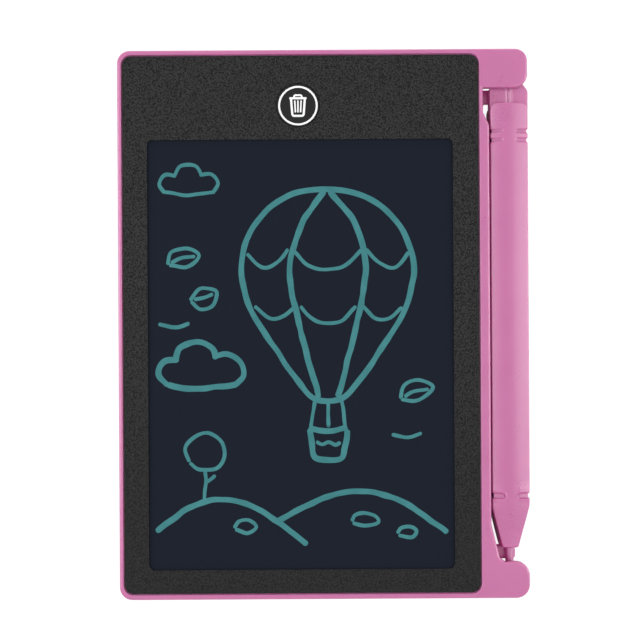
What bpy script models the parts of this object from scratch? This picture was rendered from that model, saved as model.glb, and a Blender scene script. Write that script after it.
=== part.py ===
# Pocket LCD writing tablet with a stylus held in the right side of its housing.
# Metres, +Z up. The tablet lies on its back: +X runs to the stylus, +Y to the erase
# button and +Z out of the screen. The origin is the middle of the footprint, on the
# rear face.
import math

import bmesh
import bpy
import numpy as np

# Whole tablet
TABLET_LENGTH = 0.1164
BODY_WIDTH = 0.0788

# Housing walls
CORNER_RADIUS = 0.0027
FRONT_EDGE_RADIUS = 0.00045
REAR_EDGE_RADIUS = 0.0010
FLOOR_THICKNESS = 0.0012
LEDGE_WIDTH = 0.0012
RIM_SIDE = 0.00096
RIM_TOP = 0.00110
RIM_BOTTOM = 0.00118
RIM_STYLUS = 0.0022

# Stylus holder: two ears in front of the stylus and two rests behind it
EAR_SETBACK = 0.00040
UPPER_EAR_LENGTH = 0.0083
LOWER_EAR_LENGTH = 0.0077
UPPER_EAR_OUTER_RADIUS = 0.0026
UPPER_EAR_INNER_RADIUS = 0.0029
LOWER_EAR_RADIUS = 0.0029
EAR_PLATE_THICKNESS = 0.0017
EAR_END_WALL = 0.0012
NOTCH_DEPTH = 0.0013
NOTCH_LENGTH = 0.0051
NOTCH_SLANT = 0.00275
SHOULDER_DEPTH = 0.0018
SHOULDER_LENGTH = 0.0080
SHOULDER_FOOT = 0.0010
REST_THICKNESS = 0.0014
REST_NOSE_RADIUS = 0.0007
REST_UNDER_EAR = 0.0003
UPPER_REST_WIDTH = 0.0029
UPPER_REST_REACH = 0.0074
LOWER_REST_WIDTH = 0.0027
LOWER_REST_REACH = 0.0055
GUSSET_SIZE = 0.0010

# Front panel, window and button hole
PANEL_THICKNESS = 0.0004
PANEL_RECESS = 0.0002
PANEL_RADIUS = 0.0020
PANEL_GAP = 0.00012
WINDOW_MARGIN_LEFT = 0.00530
WINDOW_MARGIN_RIGHT = 0.00555
WINDOW_MARGIN_BOTTOM = 0.00514
WINDOW_RADIUS = 0.0012

# Layers behind the window
SEAT_GAP = 0.00003
FILM_BORDER = 0.0015
FILM_THICKNESS = 0.00035
TAPE_THICKNESS = 0.00010
TAPE_SETBACK = 0.0003
SHEET_THICKNESS = 0.00015
PLATE_THICKNESS = 0.0008
PLATE_BORDER = 0.0004
FOAM_THICKNESS = 0.0010
FOAM_WIDTH = 0.0030
FOAM_INSET = 0.0065
RIB_WIDTH = 0.0010
RIB_END_INSET = 0.0035
CROSS_RIB_COUNT = 5

# Erase button
BUTTON_RADIUS = 0.00455
BUTTON_GAP = 0.00010
BUTTON_SHIFT = 0.00053
BUTTON_FROM_TOP = 0.01066
BUTTON_TO_WINDOW = 0.00724
BUTTON_FLANGE = 0.0007
BUTTON_FLANGE_THICKNESS = 0.00045
BUTTON_STEM_RADIUS = 0.0019
BUTTON_STEM_LENGTH = 0.00055
BUTTON_EDGE_RADIUS = 0.00015

# Push switch
SWITCH_SIDE = 0.0060
SWITCH_HEIGHT = 0.0021
SWITCH_BASE_THICKNESS = 0.0003
SWITCH_COVER_THICKNESS = 0.00018
SWITCH_CAVITY_RADIUS = 0.0022
PLUNGER_RADIUS = 0.0014
PLUNGER_FLANGE_RADIUS = 0.0019
PLUNGER_FLANGE_THICKNESS = 0.0006
PLUNGER_REACH = 0.00045
PLUNGER_GAP = 0.0002

# Circuit board and what is soldered to it
BOARD_LENGTH = 0.0240
BOARD_WIDTH = 0.0118
BOARD_THICKNESS = 0.0008
BOARD_FROM_TOP = 0.0034
BOARD_PAST_BUTTON = 0.0062
BOSS_HEIGHT = 0.00121
BOSS_RADIUS = 0.0018
BOARD_SCREW_INSET = 0.0023
BOARD_SCREW_RADIUS = 0.00070
BOARD_SCREW_HEAD_RADIUS = 0.0013
BOARD_SCREW_HEAD_HEIGHT = 0.0007
BOARD_SCREW_LENGTH = 0.0016
SCREW_CROWN_SHARE = 0.72
SCREW_HOLE_GAP = 0.0001
CHIP_LENGTH = 0.0049
CHIP_WIDTH = 0.0039
CHIP_HEIGHT = 0.0014
CAPACITOR_LENGTH = 0.0020
CAPACITOR_WIDTH = 0.00125
CAPACITOR_HEIGHT = 0.0009
INDUCTOR_SIDE = 0.0030
INDUCTOR_HEIGHT = 0.0013
COMPONENT_GAP = 0.0008
COMPONENT_INSET = 0.0006

# Ribbon from the film to the board
RIBBON_WIDTH = 0.0060
RIBBON_THICKNESS = 0.00012
RIBBON_REACH = 0.0022
RIBBON_INSET = 0.0006
RIBBON_LEVEL_SHARE = 0.45
RIBBON_SWAY_SHARE = 0.125

# Coin cell and its bay
CELL_RADIUS = 0.0100
CELL_HEIGHT = 0.0016
CELL_WALL = 0.00025
CELL_GASKET_WIDTH = 0.0008
CELL_GAP = 0.0003
WELL_WALL = 0.0011
WELL_HEADROOM = 0.0004
CEILING_THICKNESS = 0.0007
BAY_FROM_TOP = 0.0038
COVER_THICKNESS = 0.00105
COVER_RECESS = 0.0001
COVER_SIDE_LEDGE = 0.0017
COVER_PAST_WELL = 0.0005
COVER_TAIL = 0.0062
COVER_RADIUS = 0.0030
COVER_GAP = 0.0002
COVER_EDGE_RADIUS = 0.00020
COVER_LEDGE_THICKNESS = 0.0008
TAB_WIDTH = 0.0040
TAB_REACH = 0.0011
TAB_THICKNESS = 0.00045
TAB_SPACING = 0.0120
COVER_SCREW_RADIUS = 0.00075
COVER_SCREW_HEAD_RADIUS = 0.0018
COVER_SCREW_HEAD_HEIGHT = 0.00060
COVER_SCREW_LENGTH = 0.0034
COVER_SCREW_INSET = 0.0030
COVER_BOSS_RADIUS = 0.0026
CROSS_RECESS_WIDTH = 0.00040
CROSS_RECESS_DEPTH = 0.00035
CROSS_RECESS_SHARE = 0.62
GRIP_LINE_COUNT = 3
GRIP_LINE_WIDTH = 0.0005
GRIP_LINE_DEPTH = 0.00025
GRIP_LINE_SPACING = 0.0012
GRIP_LINE_LENGTH = 0.0080

# Battery contacts
CONTACT_THICKNESS = 0.00020
CONTACT_WIDTH = 0.0024
CONTACT_GAP = 0.00005
CONTACT_PAD = 0.0026
CONTACT_SLOT_GAP = 0.0002
POSITIVE_CONTACT_INSET = 0.0015
NEGATIVE_CONTACT_SHARE = 0.6

# Stylus
STYLUS_WIDTH = 0.0083
STYLUS_GAP = 0.00020
STYLUS_FRONT_DROP = 0.0004
STYLUS_REAR_RISE = 0.0006
STYLUS_CROWN = 0.0007
STYLUS_EDGE_RADIUS = 0.0006
STYLUS_HEAD_GAP = 0.0032
STYLUS_HEAD_RADIUS = 0.0004
STYLUS_HEAD_CORNER = 0.0020
STYLUS_TAPER_LENGTH = 0.0091
STYLUS_TIP_WIDTH = 0.0039
STYLUS_TIP_DEPTH = 0.0048
STYLUS_TIP_RADIUS = 0.0009
STYLUS_TIP_GAP = 0.0028
TONGUE_GAP = 0.0003
TONGUE_SIDE_INSET = 0.00006
TONGUE_LENGTH = 0.0093
TONGUE_SHOULDER = 0.0030
TONGUE_SHOULDER_REACH = 0.0016
TONGUE_SHOULDER_RADIUS = 0.0025
TONGUE_END_RADIUS = 0.0010
TONGUE_CHAMFER = 0.00035
TONGUE_EDGE_RADIUS = 0.0003
TONGUE_GROOVE_WIDTH = 0.0011
TONGUE_GROOVE_DEPTH = 0.0003
ROUND_END_SHARE = 0.98
WIDEST_RADIUS_SHARE = 0.49
CORE_RADIUS_SHARE = 0.4
DENT_DEPTH = 0.00034
DENT_WIDTH = 0.0013
DENT_PITCH = 0.0019
DENT_LENGTH = 0.0029
DENT_FROM_HEAD = 0.0059
GROOVE_DEPTH = 0.00030
GROOVE_WIDTH = 0.00135
GROOVE_LENGTH = 0.0029
GROOVE_FROM_TAPER = 0.0020
NIB_RADIUS = 0.00090
NIB_BORE_GAP = 0.00005
NIB_SHANK = 0.0050
NIB_REACH = 0.0021
NIB_FLAT_SHARE = 0.2

# Facets
OVERRUN = 0.0010
ARC_STEPS = 8
EDGE_STEPS = 4
CROWN_STEPS = 6
ROUND_STEPS = 48
SMOOTH_ANGLE = math.radians(35)
RIM_ANGLE = math.radians(60)
WELD_DISTANCE = 0.000001

# The whole tablet's width and thickness follow from what it carries
TABLET_WIDTH = BODY_WIDTH + STYLUS_GAP + STYLUS_WIDTH
TABLET_THICKNESS = (FLOOR_THICKNESS + BOSS_HEIGHT + BOARD_THICKNESS + SWITCH_HEIGHT + BUTTON_STEM_LENGTH
                    + BUTTON_FLANGE_THICKNESS + PANEL_THICKNESS + PANEL_RECESS + 3 * SEAT_GAP)

# Places along X and Y
LEFT = -TABLET_WIDTH / 2
RIGHT = TABLET_WIDTH / 2
TOP = TABLET_LENGTH / 2
BOTTOM = -TABLET_LENGTH / 2
EDGE = LEFT + BODY_WIDTH
EAR_RIGHT = RIGHT - EAR_SETBACK
NOTCH_X = EDGE - NOTCH_DEPTH
UPPER_EAR_Y = TOP - UPPER_EAR_LENGTH
LOWER_EAR_Y = BOTTOM + LOWER_EAR_LENGTH
SHOULDER_X = EDGE + SHOULDER_DEPTH
SHOULDER_Y = LOWER_EAR_Y + SHOULDER_FOOT
PANEL_LEFT = LEFT + RIM_SIDE
PANEL_RIGHT = EDGE - RIM_STYLUS
PANEL_TOP = TOP - RIM_TOP
PANEL_BOTTOM = BOTTOM + RIM_BOTTOM
WINDOW_LEFT = PANEL_LEFT + WINDOW_MARGIN_LEFT
WINDOW_RIGHT = PANEL_RIGHT - WINDOW_MARGIN_RIGHT
WINDOW_BOTTOM = PANEL_BOTTOM + WINDOW_MARGIN_BOTTOM
CAVITY_LEFT = PANEL_LEFT + LEDGE_WIDTH
CAVITY_RIGHT = PANEL_RIGHT - LEDGE_WIDTH
CAVITY_TOP = PANEL_TOP - LEDGE_WIDTH
CAVITY_BOTTOM = PANEL_BOTTOM + LEDGE_WIDTH
BUTTON_X = (PANEL_LEFT + PANEL_RIGHT) / 2 - BUTTON_SHIFT
BUTTON_Y = PANEL_TOP - BUTTON_FROM_TOP
WINDOW_TOP = BUTTON_Y - BUTTON_TO_WINDOW
BOARD_RIGHT = BUTTON_X + BOARD_PAST_BUTTON
BOARD_LEFT = BOARD_RIGHT - BOARD_LENGTH
BOARD_TOP = TOP - BOARD_FROM_TOP
BOARD_BOTTOM = BOARD_TOP - BOARD_WIDTH
WELL_RADIUS = CELL_RADIUS + CELL_GAP
WELL_OUTER_RADIUS = WELL_RADIUS + WELL_WALL
COVER_HALF_WIDTH = WELL_RADIUS + COVER_SIDE_LEDGE
BAY_X = (BOARD_RIGHT + CAVITY_RIGHT) / 2
BAY_Y = TOP - BAY_FROM_TOP - WELL_OUTER_RADIUS
POSITIVE_CONTACT_Y = BOARD_BOTTOM + POSITIVE_CONTACT_INSET
NEGATIVE_CONTACT_Y = BAY_Y + CELL_RADIUS * NEGATIVE_CONTACT_SHARE
COVER_TOP = BAY_Y + WELL_RADIUS + COVER_PAST_WELL
COVER_BOTTOM = BAY_Y - WELL_RADIUS - COVER_TAIL
COVER_SCREW_Y = COVER_BOTTOM + COVER_SCREW_INSET
RIB_TOP = COVER_BOTTOM - RIB_END_INSET
RIB_BOTTOM = WINDOW_BOTTOM + RIB_END_INSET
STYLUS_LEFT = EDGE + STYLUS_GAP
STYLUS_RIGHT = STYLUS_LEFT + STYLUS_WIDTH
STYLUS_X = (STYLUS_LEFT + STYLUS_RIGHT) / 2
STYLUS_HEAD_Y = UPPER_EAR_Y - STYLUS_HEAD_GAP
STYLUS_TIP_Y = LOWER_EAR_Y + STYLUS_TIP_GAP
STYLUS_TAPER_Y = STYLUS_TIP_Y + STYLUS_TAPER_LENGTH

# Heights above the rear face
PANEL_FRONT_Z = TABLET_THICKNESS - PANEL_RECESS
PANEL_BACK_Z = PANEL_FRONT_Z - PANEL_THICKNESS
LEDGE_Z = PANEL_BACK_Z - SEAT_GAP
TAPE_BACK_Z = LEDGE_Z - TAPE_THICKNESS
FILM_FRONT_Z = TAPE_BACK_Z - SEAT_GAP
FILM_BACK_Z = FILM_FRONT_Z - FILM_THICKNESS
SHEET_FRONT_Z = FILM_BACK_Z - SEAT_GAP
SHEET_BACK_Z = SHEET_FRONT_Z - SHEET_THICKNESS
PLATE_FRONT_Z = SHEET_BACK_Z - SEAT_GAP
PLATE_BACK_Z = PLATE_FRONT_Z - PLATE_THICKNESS
FOAM_FRONT_Z = PLATE_BACK_Z - SEAT_GAP
FOAM_BACK_Z = FOAM_FRONT_Z - FOAM_THICKNESS
RIB_Z = FOAM_BACK_Z - SEAT_GAP
FLANGE_BACK_Z = LEDGE_Z - BUTTON_FLANGE_THICKNESS
STEM_Z = FLANGE_BACK_Z - BUTTON_STEM_LENGTH
PLUNGER_TOP_Z = STEM_Z - SEAT_GAP
BOARD_FRONT_Z = PLUNGER_TOP_Z - SWITCH_HEIGHT
BOARD_BACK_Z = BOARD_FRONT_Z - BOARD_THICKNESS
BOSS_Z = BOARD_BACK_Z - SEAT_GAP
SOLDER_Z = BOARD_FRONT_Z + SEAT_GAP
SWITCH_COVER_Z = PLUNGER_TOP_Z - PLUNGER_REACH
SWITCH_BODY_Z = SWITCH_COVER_Z - SWITCH_COVER_THICKNESS - SEAT_GAP
COVER_BACK_Z = COVER_RECESS + COVER_THICKNESS
COVER_SEAT_Z = COVER_BACK_Z + SEAT_GAP
CELL_LOW_Z = COVER_BACK_Z + CELL_GAP / 2
CELL_TOP_Z = CELL_LOW_Z + CELL_HEIGHT
WELL_TOP_Z = CELL_TOP_Z + WELL_HEADROOM
CEILING_Z = WELL_TOP_Z + CEILING_THICKNESS
COVER_BOSS_Z = CEILING_Z
EAR_BACK_Z = TABLET_THICKNESS - EAR_PLATE_THICKNESS
STYLUS_FRONT_Z = TABLET_THICKNESS - STYLUS_FRONT_DROP
STYLUS_REAR_Z = STYLUS_REAR_RISE
STYLUS_Z = (STYLUS_FRONT_Z + STYLUS_REAR_Z) / 2

PARTS_NAME = "lcd_writing_tablet"
CUTTERS_NAME = "cutters"


def collection(name):
    made = bpy.data.collections.new(name)
    bpy.context.scene.collection.children.link(made)


def clear_scene():
    for thing in list(bpy.data.objects):
        bpy.data.objects.remove(thing, do_unlink=True)


def material(name, colour, roughness, metallic=0.0):
    made = bpy.data.materials.new(name)
    made.use_nodes = True
    shader = made.node_tree.nodes["Principled BSDF"]
    shader.inputs["Base Color"].default_value = (*colour, 1.0)
    shader.inputs["Roughness"].default_value = roughness
    shader.inputs["Metallic"].default_value = metallic
    made.diffuse_color = (*colour, 1.0)
    return made


def place_part(thing, finish):
    """Put a finished piece into the collection of parts, with its own material."""
    bpy.data.collections[PARTS_NAME].objects.link(thing)
    thing.data.materials.append(finish)
    thing.data.shade_smooth()
    thing.data.set_sharp_from_angle(angle=SMOOTH_ANGLE)
    return thing


def place_cutter(thing):
    bpy.data.collections[CUTTERS_NAME].objects.link(thing)
    thing.hide_render = True
    thing.display_type = "WIRE"
    return thing


def object_from(name, shape):
    """Turn a bmesh into an object whose faces point outwards."""
    bmesh.ops.recalc_face_normals(shape, faces=shape.faces)
    mesh = bpy.data.meshes.new(name)
    shape.to_mesh(mesh)
    shape.free()
    return bpy.data.objects.new(name, mesh)


def rounded(corners, steps=ARC_STEPS):
    """Outline through corners (x, y, radius), each rounded by an arc of its radius."""
    points = []
    count = len(corners)
    for index, (x, y, radius) in enumerate(corners):
        here = np.array((x, y))
        if not radius:
            points.append((x, y))
            continue
        before = np.array(corners[index - 1][:2]) - here
        after = np.array(corners[(index + 1) % count][:2]) - here
        before /= np.linalg.norm(before)
        after /= np.linalg.norm(after)
        half = math.acos(np.clip(before @ after, -1, 1)) / 2
        reach = radius / math.tan(half)
        middle = here + (before + after) / np.linalg.norm(before + after) * radius / math.sin(half)
        start = here + before * reach - middle
        end = here + after * reach - middle
        first = math.atan2(start[1], start[0])
        turn = (math.atan2(end[1], end[0]) - first + math.pi) % (2 * math.pi) - math.pi
        for step in range(steps + 1):
            angle = first + turn * step / steps
            points.append((middle[0] + radius * math.cos(angle), middle[1] + radius * math.sin(angle)))
    return points


def rectangle(left, right, bottom, top, radius=0):
    return rounded([(x, y, radius) for x, y in ((left, bottom), (right, bottom), (right, top), (left, top))])


def slab(name, outline, low, high, low_radius=0, high_radius=0):
    """Flat piece: an outline pushed from low to high, with its two rims rounded."""
    shape = bmesh.new()
    base = shape.faces.new([shape.verts.new((x, y, low)) for x, y in outline])
    grown = bmesh.ops.extrude_face_region(shape, geom=[base])["geom"]
    lifted = [item for item in grown if isinstance(item, bmesh.types.BMVert)]
    bmesh.ops.translate(shape, verts=lifted, vec=(0, 0, high - low))
    middle = (low + high) / 2
    for radius, upper in ((low_radius, False), (high_radius, True)):
        if not radius:
            continue
        rim = [edge for edge in shape.edges
               if all((vert.co.z > middle) == upper for vert in edge.verts)
               and edge.calc_face_angle(0) > RIM_ANGLE]
        bmesh.ops.bevel(shape, geom=rim, offset=radius, segments=EDGE_STEPS, profile=0.5,
                        affect="EDGES", clamp_overlap=True)
    return object_from(name, shape)


def block(name, x_range, y_range, z_range):
    return slab(name, rectangle(*x_range, *y_range), *z_range)


def disc(name, x, y, radius, low, high, steps=ROUND_STEPS):
    shape = bmesh.new()
    bmesh.ops.create_cone(shape, cap_ends=True, segments=steps, radius1=radius, radius2=radius,
                          depth=high - low)
    bmesh.ops.translate(shape, verts=shape.verts, vec=(x, y, (low + high) / 2))
    return object_from(name, shape)


def turned(name, profile, x, y, steps=ROUND_STEPS):
    """Round piece: a profile of (radius, height), given from top to bottom, turned about Z."""
    mesh = bpy.data.meshes.new(name)
    points = [(radius, 0, height) for radius, height in profile]
    edges = [(index, index + 1) for index in range(len(points) - 1)]
    if profile[0][0] > 0:
        edges.append((len(points) - 1, 0))
    mesh.from_pydata(points, edges, [])
    thing = bpy.data.objects.new(name, mesh)
    thing.location = (x, y, 0)
    turn = thing.modifiers.new("turn", "SCREW")
    turn.steps = steps
    turn.render_steps = steps
    turn.use_merge_vertices = True
    turn.merge_threshold = WELD_DISTANCE
    turn.use_smooth_shade = True
    return thing


def loft(name, rings):
    """Skin over rings with the same number of points, closed by a face at each end."""
    shape = bmesh.new()
    rows = [[shape.verts.new(point) for point in ring] for ring in rings]
    count = len(rows[0])
    for lower, upper in zip(rows, rows[1:]):
        for index in range(count):
            following = (index + 1) % count
            shape.faces.new((lower[index], lower[following], upper[following], upper[index]))
    shape.faces.new(rows[0])
    shape.faces.new(rows[-1])
    return object_from(name, shape)


def strip(name, path, across, width, thickness, along_x=True):
    """Bent sheet strip: a path of (distance, height) with a width across it, made thick."""
    shape = bmesh.new()
    rows = []
    for distance, height in path:
        row = []
        for side in (-width / 2, width / 2):
            place = (distance, across + side, height) if along_x else (across + side, distance, height)
            row.append(shape.verts.new(place))
        rows.append(row)
    for first, second in zip(rows, rows[1:]):
        shape.faces.new((first[0], second[0], second[1], first[1]))
    thing = object_from(name, shape)
    wall = thing.modifiers.new("wall", "SOLIDIFY")
    wall.thickness = thickness
    wall.offset = 0
    wall.use_even_offset = True
    return thing


def boolean(thing, other, operation):
    """Cut another object out of a piece, or join it on, and file that object as a cutter."""
    place_cutter(other)
    step = thing.modifiers.new(other.name, "BOOLEAN")
    step.operation = operation
    step.object = other
    step.solver = "EXACT"


def cut(thing, *others):
    for other in others:
        boolean(thing, other, "DIFFERENCE")


def join(thing, *others):
    for other in others:
        boolean(thing, other, "UNION")


def grown_rectangle(left, right, bottom, top, growth, radius=0):
    return rectangle(left - growth, right + growth, bottom - growth, top + growth, radius)


def housing_outline():
    """Footprint of the housing: body, two ears, the notch at the stylus's head and the
    shoulder that follows the stylus's taper."""
    return rounded([
        (LEFT, BOTTOM, CORNER_RADIUS),
        (EAR_RIGHT, BOTTOM, LOWER_EAR_RADIUS),
        (EAR_RIGHT, LOWER_EAR_Y, LOWER_EAR_RADIUS),
        (SHOULDER_X + SHOULDER_FOOT, LOWER_EAR_Y, 0),
        (SHOULDER_X, SHOULDER_Y, 0),
        (EDGE, SHOULDER_Y + SHOULDER_LENGTH, 0),
        (EDGE, UPPER_EAR_Y - NOTCH_LENGTH - NOTCH_SLANT, 0),
        (NOTCH_X, UPPER_EAR_Y - NOTCH_LENGTH, 0),
        (NOTCH_X, UPPER_EAR_Y, 0),
        (EAR_RIGHT, UPPER_EAR_Y, UPPER_EAR_INNER_RADIUS),
        (EAR_RIGHT, TOP, UPPER_EAR_OUTER_RADIUS),
        (LEFT, TOP, CORNER_RADIUS),
    ])


def holder_rests():
    """The two rests behind the stylus, each rooted in the side wall beside it."""
    root = CAVITY_RIGHT + LEDGE_WIDTH / 4
    upper_high = UPPER_EAR_Y + REST_UNDER_EAR
    upper_low = upper_high - UPPER_REST_WIDTH
    upper_end = NOTCH_X + UPPER_REST_REACH
    upper = slab("upper_rest", rounded([
        (root, upper_low - GUSSET_SIZE, 0),
        (NOTCH_X, upper_low - GUSSET_SIZE, 0),
        (NOTCH_X + GUSSET_SIZE, upper_low, 0),
        (upper_end, upper_low, REST_NOSE_RADIUS),
        (upper_end, upper_high, REST_NOSE_RADIUS),
        (root, upper_high, 0),
    ]), 0, REST_THICKNESS)
    lower_low = LOWER_EAR_Y + SEAT_GAP
    lower_high = lower_low + LOWER_REST_WIDTH
    lower_end = EDGE + LOWER_REST_REACH
    lower = slab("lower_rest", rounded([
        (root, lower_low, 0),
        (lower_end, lower_low, REST_NOSE_RADIUS),
        (lower_end, lower_high, REST_NOSE_RADIUS),
        (root, lower_high, 0),
    ]), 0, REST_THICKNESS)
    cradle_high = STYLUS_Z - NIB_RADIUS - STYLUS_GAP
    cradle_end = lower_high - (STYLUS_TIP_GAP - LOWER_REST_WIDTH)
    cradle = slab("nib_cradle", rounded([
        (SHOULDER_X - SHOULDER_FOOT, lower_low, 0),
        (lower_end, lower_low, REST_NOSE_RADIUS),
        (lower_end, cradle_end, REST_NOSE_RADIUS),
        (SHOULDER_X - SHOULDER_FOOT, cradle_end, 0),
    ]), REST_THICKNESS / 2, cradle_high)
    return upper, lower, cradle


def support_ribs():
    """Two long ribs under the foam strips, tied by a row of lower cross ribs."""
    ribs = []
    for side, x in foam_places():
        ribs.append(block(f"long_rib_{side}", (x - RIB_WIDTH / 2, x + RIB_WIDTH / 2), (RIB_BOTTOM, RIB_TOP),
                          (FLOOR_THICKNESS / 2, RIB_Z)))
    xs = [x for side, x in foam_places()]
    for index in range(CROSS_RIB_COUNT):
        y = RIB_BOTTOM + (RIB_TOP - RIB_BOTTOM) * (index + 0.5) / CROSS_RIB_COUNT
        ribs.append(block(f"cross_rib_{index + 1}", (min(xs), max(xs)),
                          (y - RIB_WIDTH / 2, y + RIB_WIDTH / 2),
                          (FLOOR_THICKNESS / 2, (FLOOR_THICKNESS + RIB_Z) / 2)))
    return ribs


def foam_places():
    return (("left", WINDOW_LEFT + FOAM_INSET), ("right", WINDOW_RIGHT - FOAM_INSET))


def board_screw_places():
    """Screws in the board's two upper corners."""
    y = BOARD_TOP - BOARD_SCREW_INSET
    return ((BOARD_LEFT + BOARD_SCREW_INSET, y), (BOARD_RIGHT - BOARD_SCREW_INSET, y))


def battery_bay(housing):
    """Well for the coin cell, the seat for its cover, the screw boss and the contact slots."""
    edges = (BAY_X - COVER_HALF_WIDTH, BAY_X + COVER_HALF_WIDTH, COVER_BOTTOM, COVER_TOP)
    seat = slab("bay_wall", grown_rectangle(*edges, WELL_WALL, COVER_RADIUS), FLOOR_THICKNESS / 2,
                COVER_SEAT_Z + COVER_LEDGE_THICKNESS)
    well = disc("well_wall", BAY_X, BAY_Y, WELL_OUTER_RADIUS, FLOOR_THICKNESS / 2, CEILING_Z)
    boss = disc("cover_boss", BAY_X, COVER_SCREW_Y, COVER_BOSS_RADIUS, FLOOR_THICKNESS / 2, COVER_BOSS_Z)
    join(housing, seat, well, boss)
    recess = slab("cover_recess", grown_rectangle(*edges, COVER_GAP, COVER_RADIUS), -OVERRUN, COVER_SEAT_Z)
    hollow = disc("well_hollow", BAY_X, BAY_Y, WELL_RADIUS, -OVERRUN, WELL_TOP_Z)
    hole = disc("cover_screw_hole", BAY_X, COVER_SCREW_Y, COVER_SCREW_RADIUS + SCREW_HOLE_GAP, -OVERRUN,
                COVER_SEAT_Z + COVER_SCREW_LENGTH, ROUND_STEPS // 2)
    cut(housing, recess, hollow, hole)
    for number, x in enumerate(tab_places()):
        reach = TAB_WIDTH / 2 + COVER_GAP
        cut(housing, block(f"tab_slot_{number + 1}", (x - reach, x + reach),
                           (COVER_TOP - COVER_GAP, COVER_TOP + TAB_REACH + COVER_GAP),
                           (COVER_BACK_Z - TAB_THICKNESS - COVER_RECESS, COVER_SEAT_Z)))
    reach = CONTACT_WIDTH / 2 + CONTACT_SLOT_GAP
    low = positive_level() - CONTACT_THICKNESS / 2 - CONTACT_SLOT_GAP
    cut(housing,
        block("positive_slot", (BAY_X - WELL_OUTER_RADIUS - OVERRUN, BAY_X - WELL_RADIUS / 2),
              (POSITIVE_CONTACT_Y - reach, POSITIVE_CONTACT_Y + reach),
              (low, WELL_TOP_Z - WELL_HEADROOM / 2)),
        block("negative_slot", (negative_dip() - CONTACT_SLOT_GAP, negative_end() + CONTACT_SLOT_GAP),
              (NEGATIVE_CONTACT_Y - reach, NEGATIVE_CONTACT_Y + reach),
              (CELL_TOP_Z, CEILING_Z + OVERRUN)))


def tab_places():
    return (BAY_X - TAB_SPACING / 2, BAY_X + TAB_SPACING / 2)


def positive_level():
    """Height at which the positive contact crosses the well's wall."""
    return CELL_LOW_Z + CELL_HEIGHT / 2


def negative_dip():
    """Where the negative contact starts to drop through the ceiling."""
    return BAY_X - CELL_RADIUS / 2


def negative_end():
    return negative_dip() + CONTACT_PAD + CEILING_THICKNESS + WELL_HEADROOM


def rear_housing(finish):
    """Pink tray with the ledge for the panel, the stylus holder, ribs and battery bay."""
    housing = slab("rear_housing", housing_outline(), 0, TABLET_THICKNESS,
                   REAR_EDGE_RADIUS, FRONT_EDGE_RADIUS)
    place_part(housing, finish)
    panel_edges = (PANEL_LEFT, PANEL_RIGHT, PANEL_BOTTOM, PANEL_TOP)
    panel_seat = slab("panel_seat", grown_rectangle(*panel_edges, PANEL_GAP, PANEL_RADIUS + PANEL_GAP),
                      LEDGE_Z, TABLET_THICKNESS + OVERRUN)
    cavity = slab("cavity", rectangle(CAVITY_LEFT, CAVITY_RIGHT, CAVITY_BOTTOM, CAVITY_TOP, PANEL_RADIUS),
                  FLOOR_THICKNESS, LEDGE_Z + OVERRUN / 2)
    upper_pocket = block("upper_pocket", (NOTCH_X, RIGHT + OVERRUN),
                         (UPPER_EAR_Y - OVERRUN, TOP - EAR_END_WALL), (-OVERRUN, EAR_BACK_Z))
    lower_pocket = block("lower_pocket", (SHOULDER_X, RIGHT + OVERRUN),
                         (BOTTOM + EAR_END_WALL, LOWER_EAR_Y + OVERRUN), (-OVERRUN, EAR_BACK_Z))
    cut(housing, panel_seat, cavity, upper_pocket, lower_pocket)
    join(housing, *holder_rests(), *support_ribs())
    for number, (x, y) in enumerate(board_screw_places()):
        join(housing, disc(f"board_boss_{number + 1}", x, y, BOSS_RADIUS, FLOOR_THICKNESS / 2, BOSS_Z))
        cut(housing, disc(f"board_boss_hole_{number + 1}", x, y, BOARD_SCREW_RADIUS + SCREW_HOLE_GAP,
                          FLOOR_THICKNESS / 2, BOSS_Z + OVERRUN, ROUND_STEPS // 2))
    battery_bay(housing)
    return housing


def front_panel(finish):
    """Black panel with the window and the button's hole."""
    panel = slab("front_panel", rectangle(PANEL_LEFT, PANEL_RIGHT, PANEL_BOTTOM, PANEL_TOP, PANEL_RADIUS),
                 PANEL_BACK_Z, PANEL_FRONT_Z)
    place_part(panel, finish)
    through = (PANEL_BACK_Z - OVERRUN, PANEL_FRONT_Z + OVERRUN)
    window = slab("window_cut", rectangle(WINDOW_LEFT, WINDOW_RIGHT, WINDOW_BOTTOM, WINDOW_TOP,
                                          WINDOW_RADIUS), *through)
    hole = disc("button_hole", BUTTON_X, BUTTON_Y, BUTTON_RADIUS + BUTTON_GAP, *through)
    cut(panel, window, hole)
    return panel


def window_layers(finishes):
    """Tape frame, writing film, dark sheet, stiff plate and foam strips, from front to back."""
    edges = (WINDOW_LEFT, WINDOW_RIGHT, WINDOW_BOTTOM, WINDOW_TOP)
    tape = slab("film_tape", grown_rectangle(*edges, FILM_BORDER), TAPE_BACK_Z, LEDGE_Z)
    place_part(tape, finishes["tape"])
    cut(tape, slab("tape_cut", grown_rectangle(*edges, TAPE_SETBACK), TAPE_BACK_Z - OVERRUN,
                   LEDGE_Z + OVERRUN))
    film = slab("lcd_film", grown_rectangle(*edges, FILM_BORDER), FILM_BACK_Z, FILM_FRONT_Z)
    place_part(film, finishes["film"])
    sheet = slab("backing_sheet", grown_rectangle(*edges, FILM_BORDER), SHEET_BACK_Z, SHEET_FRONT_Z)
    place_part(sheet, finishes["sheet"])
    plate = slab("support_plate", grown_rectangle(*edges, FILM_BORDER + PLATE_BORDER), PLATE_BACK_Z,
                 PLATE_FRONT_Z)
    place_part(plate, finishes["plate"])
    for side, x in foam_places():
        foam = block(f"foam_strip_{side}", (x - FOAM_WIDTH / 2, x + FOAM_WIDTH / 2), (RIB_BOTTOM, RIB_TOP),
                     (FOAM_BACK_Z, FOAM_FRONT_Z))
        place_part(foam, finishes["foam"])


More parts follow.
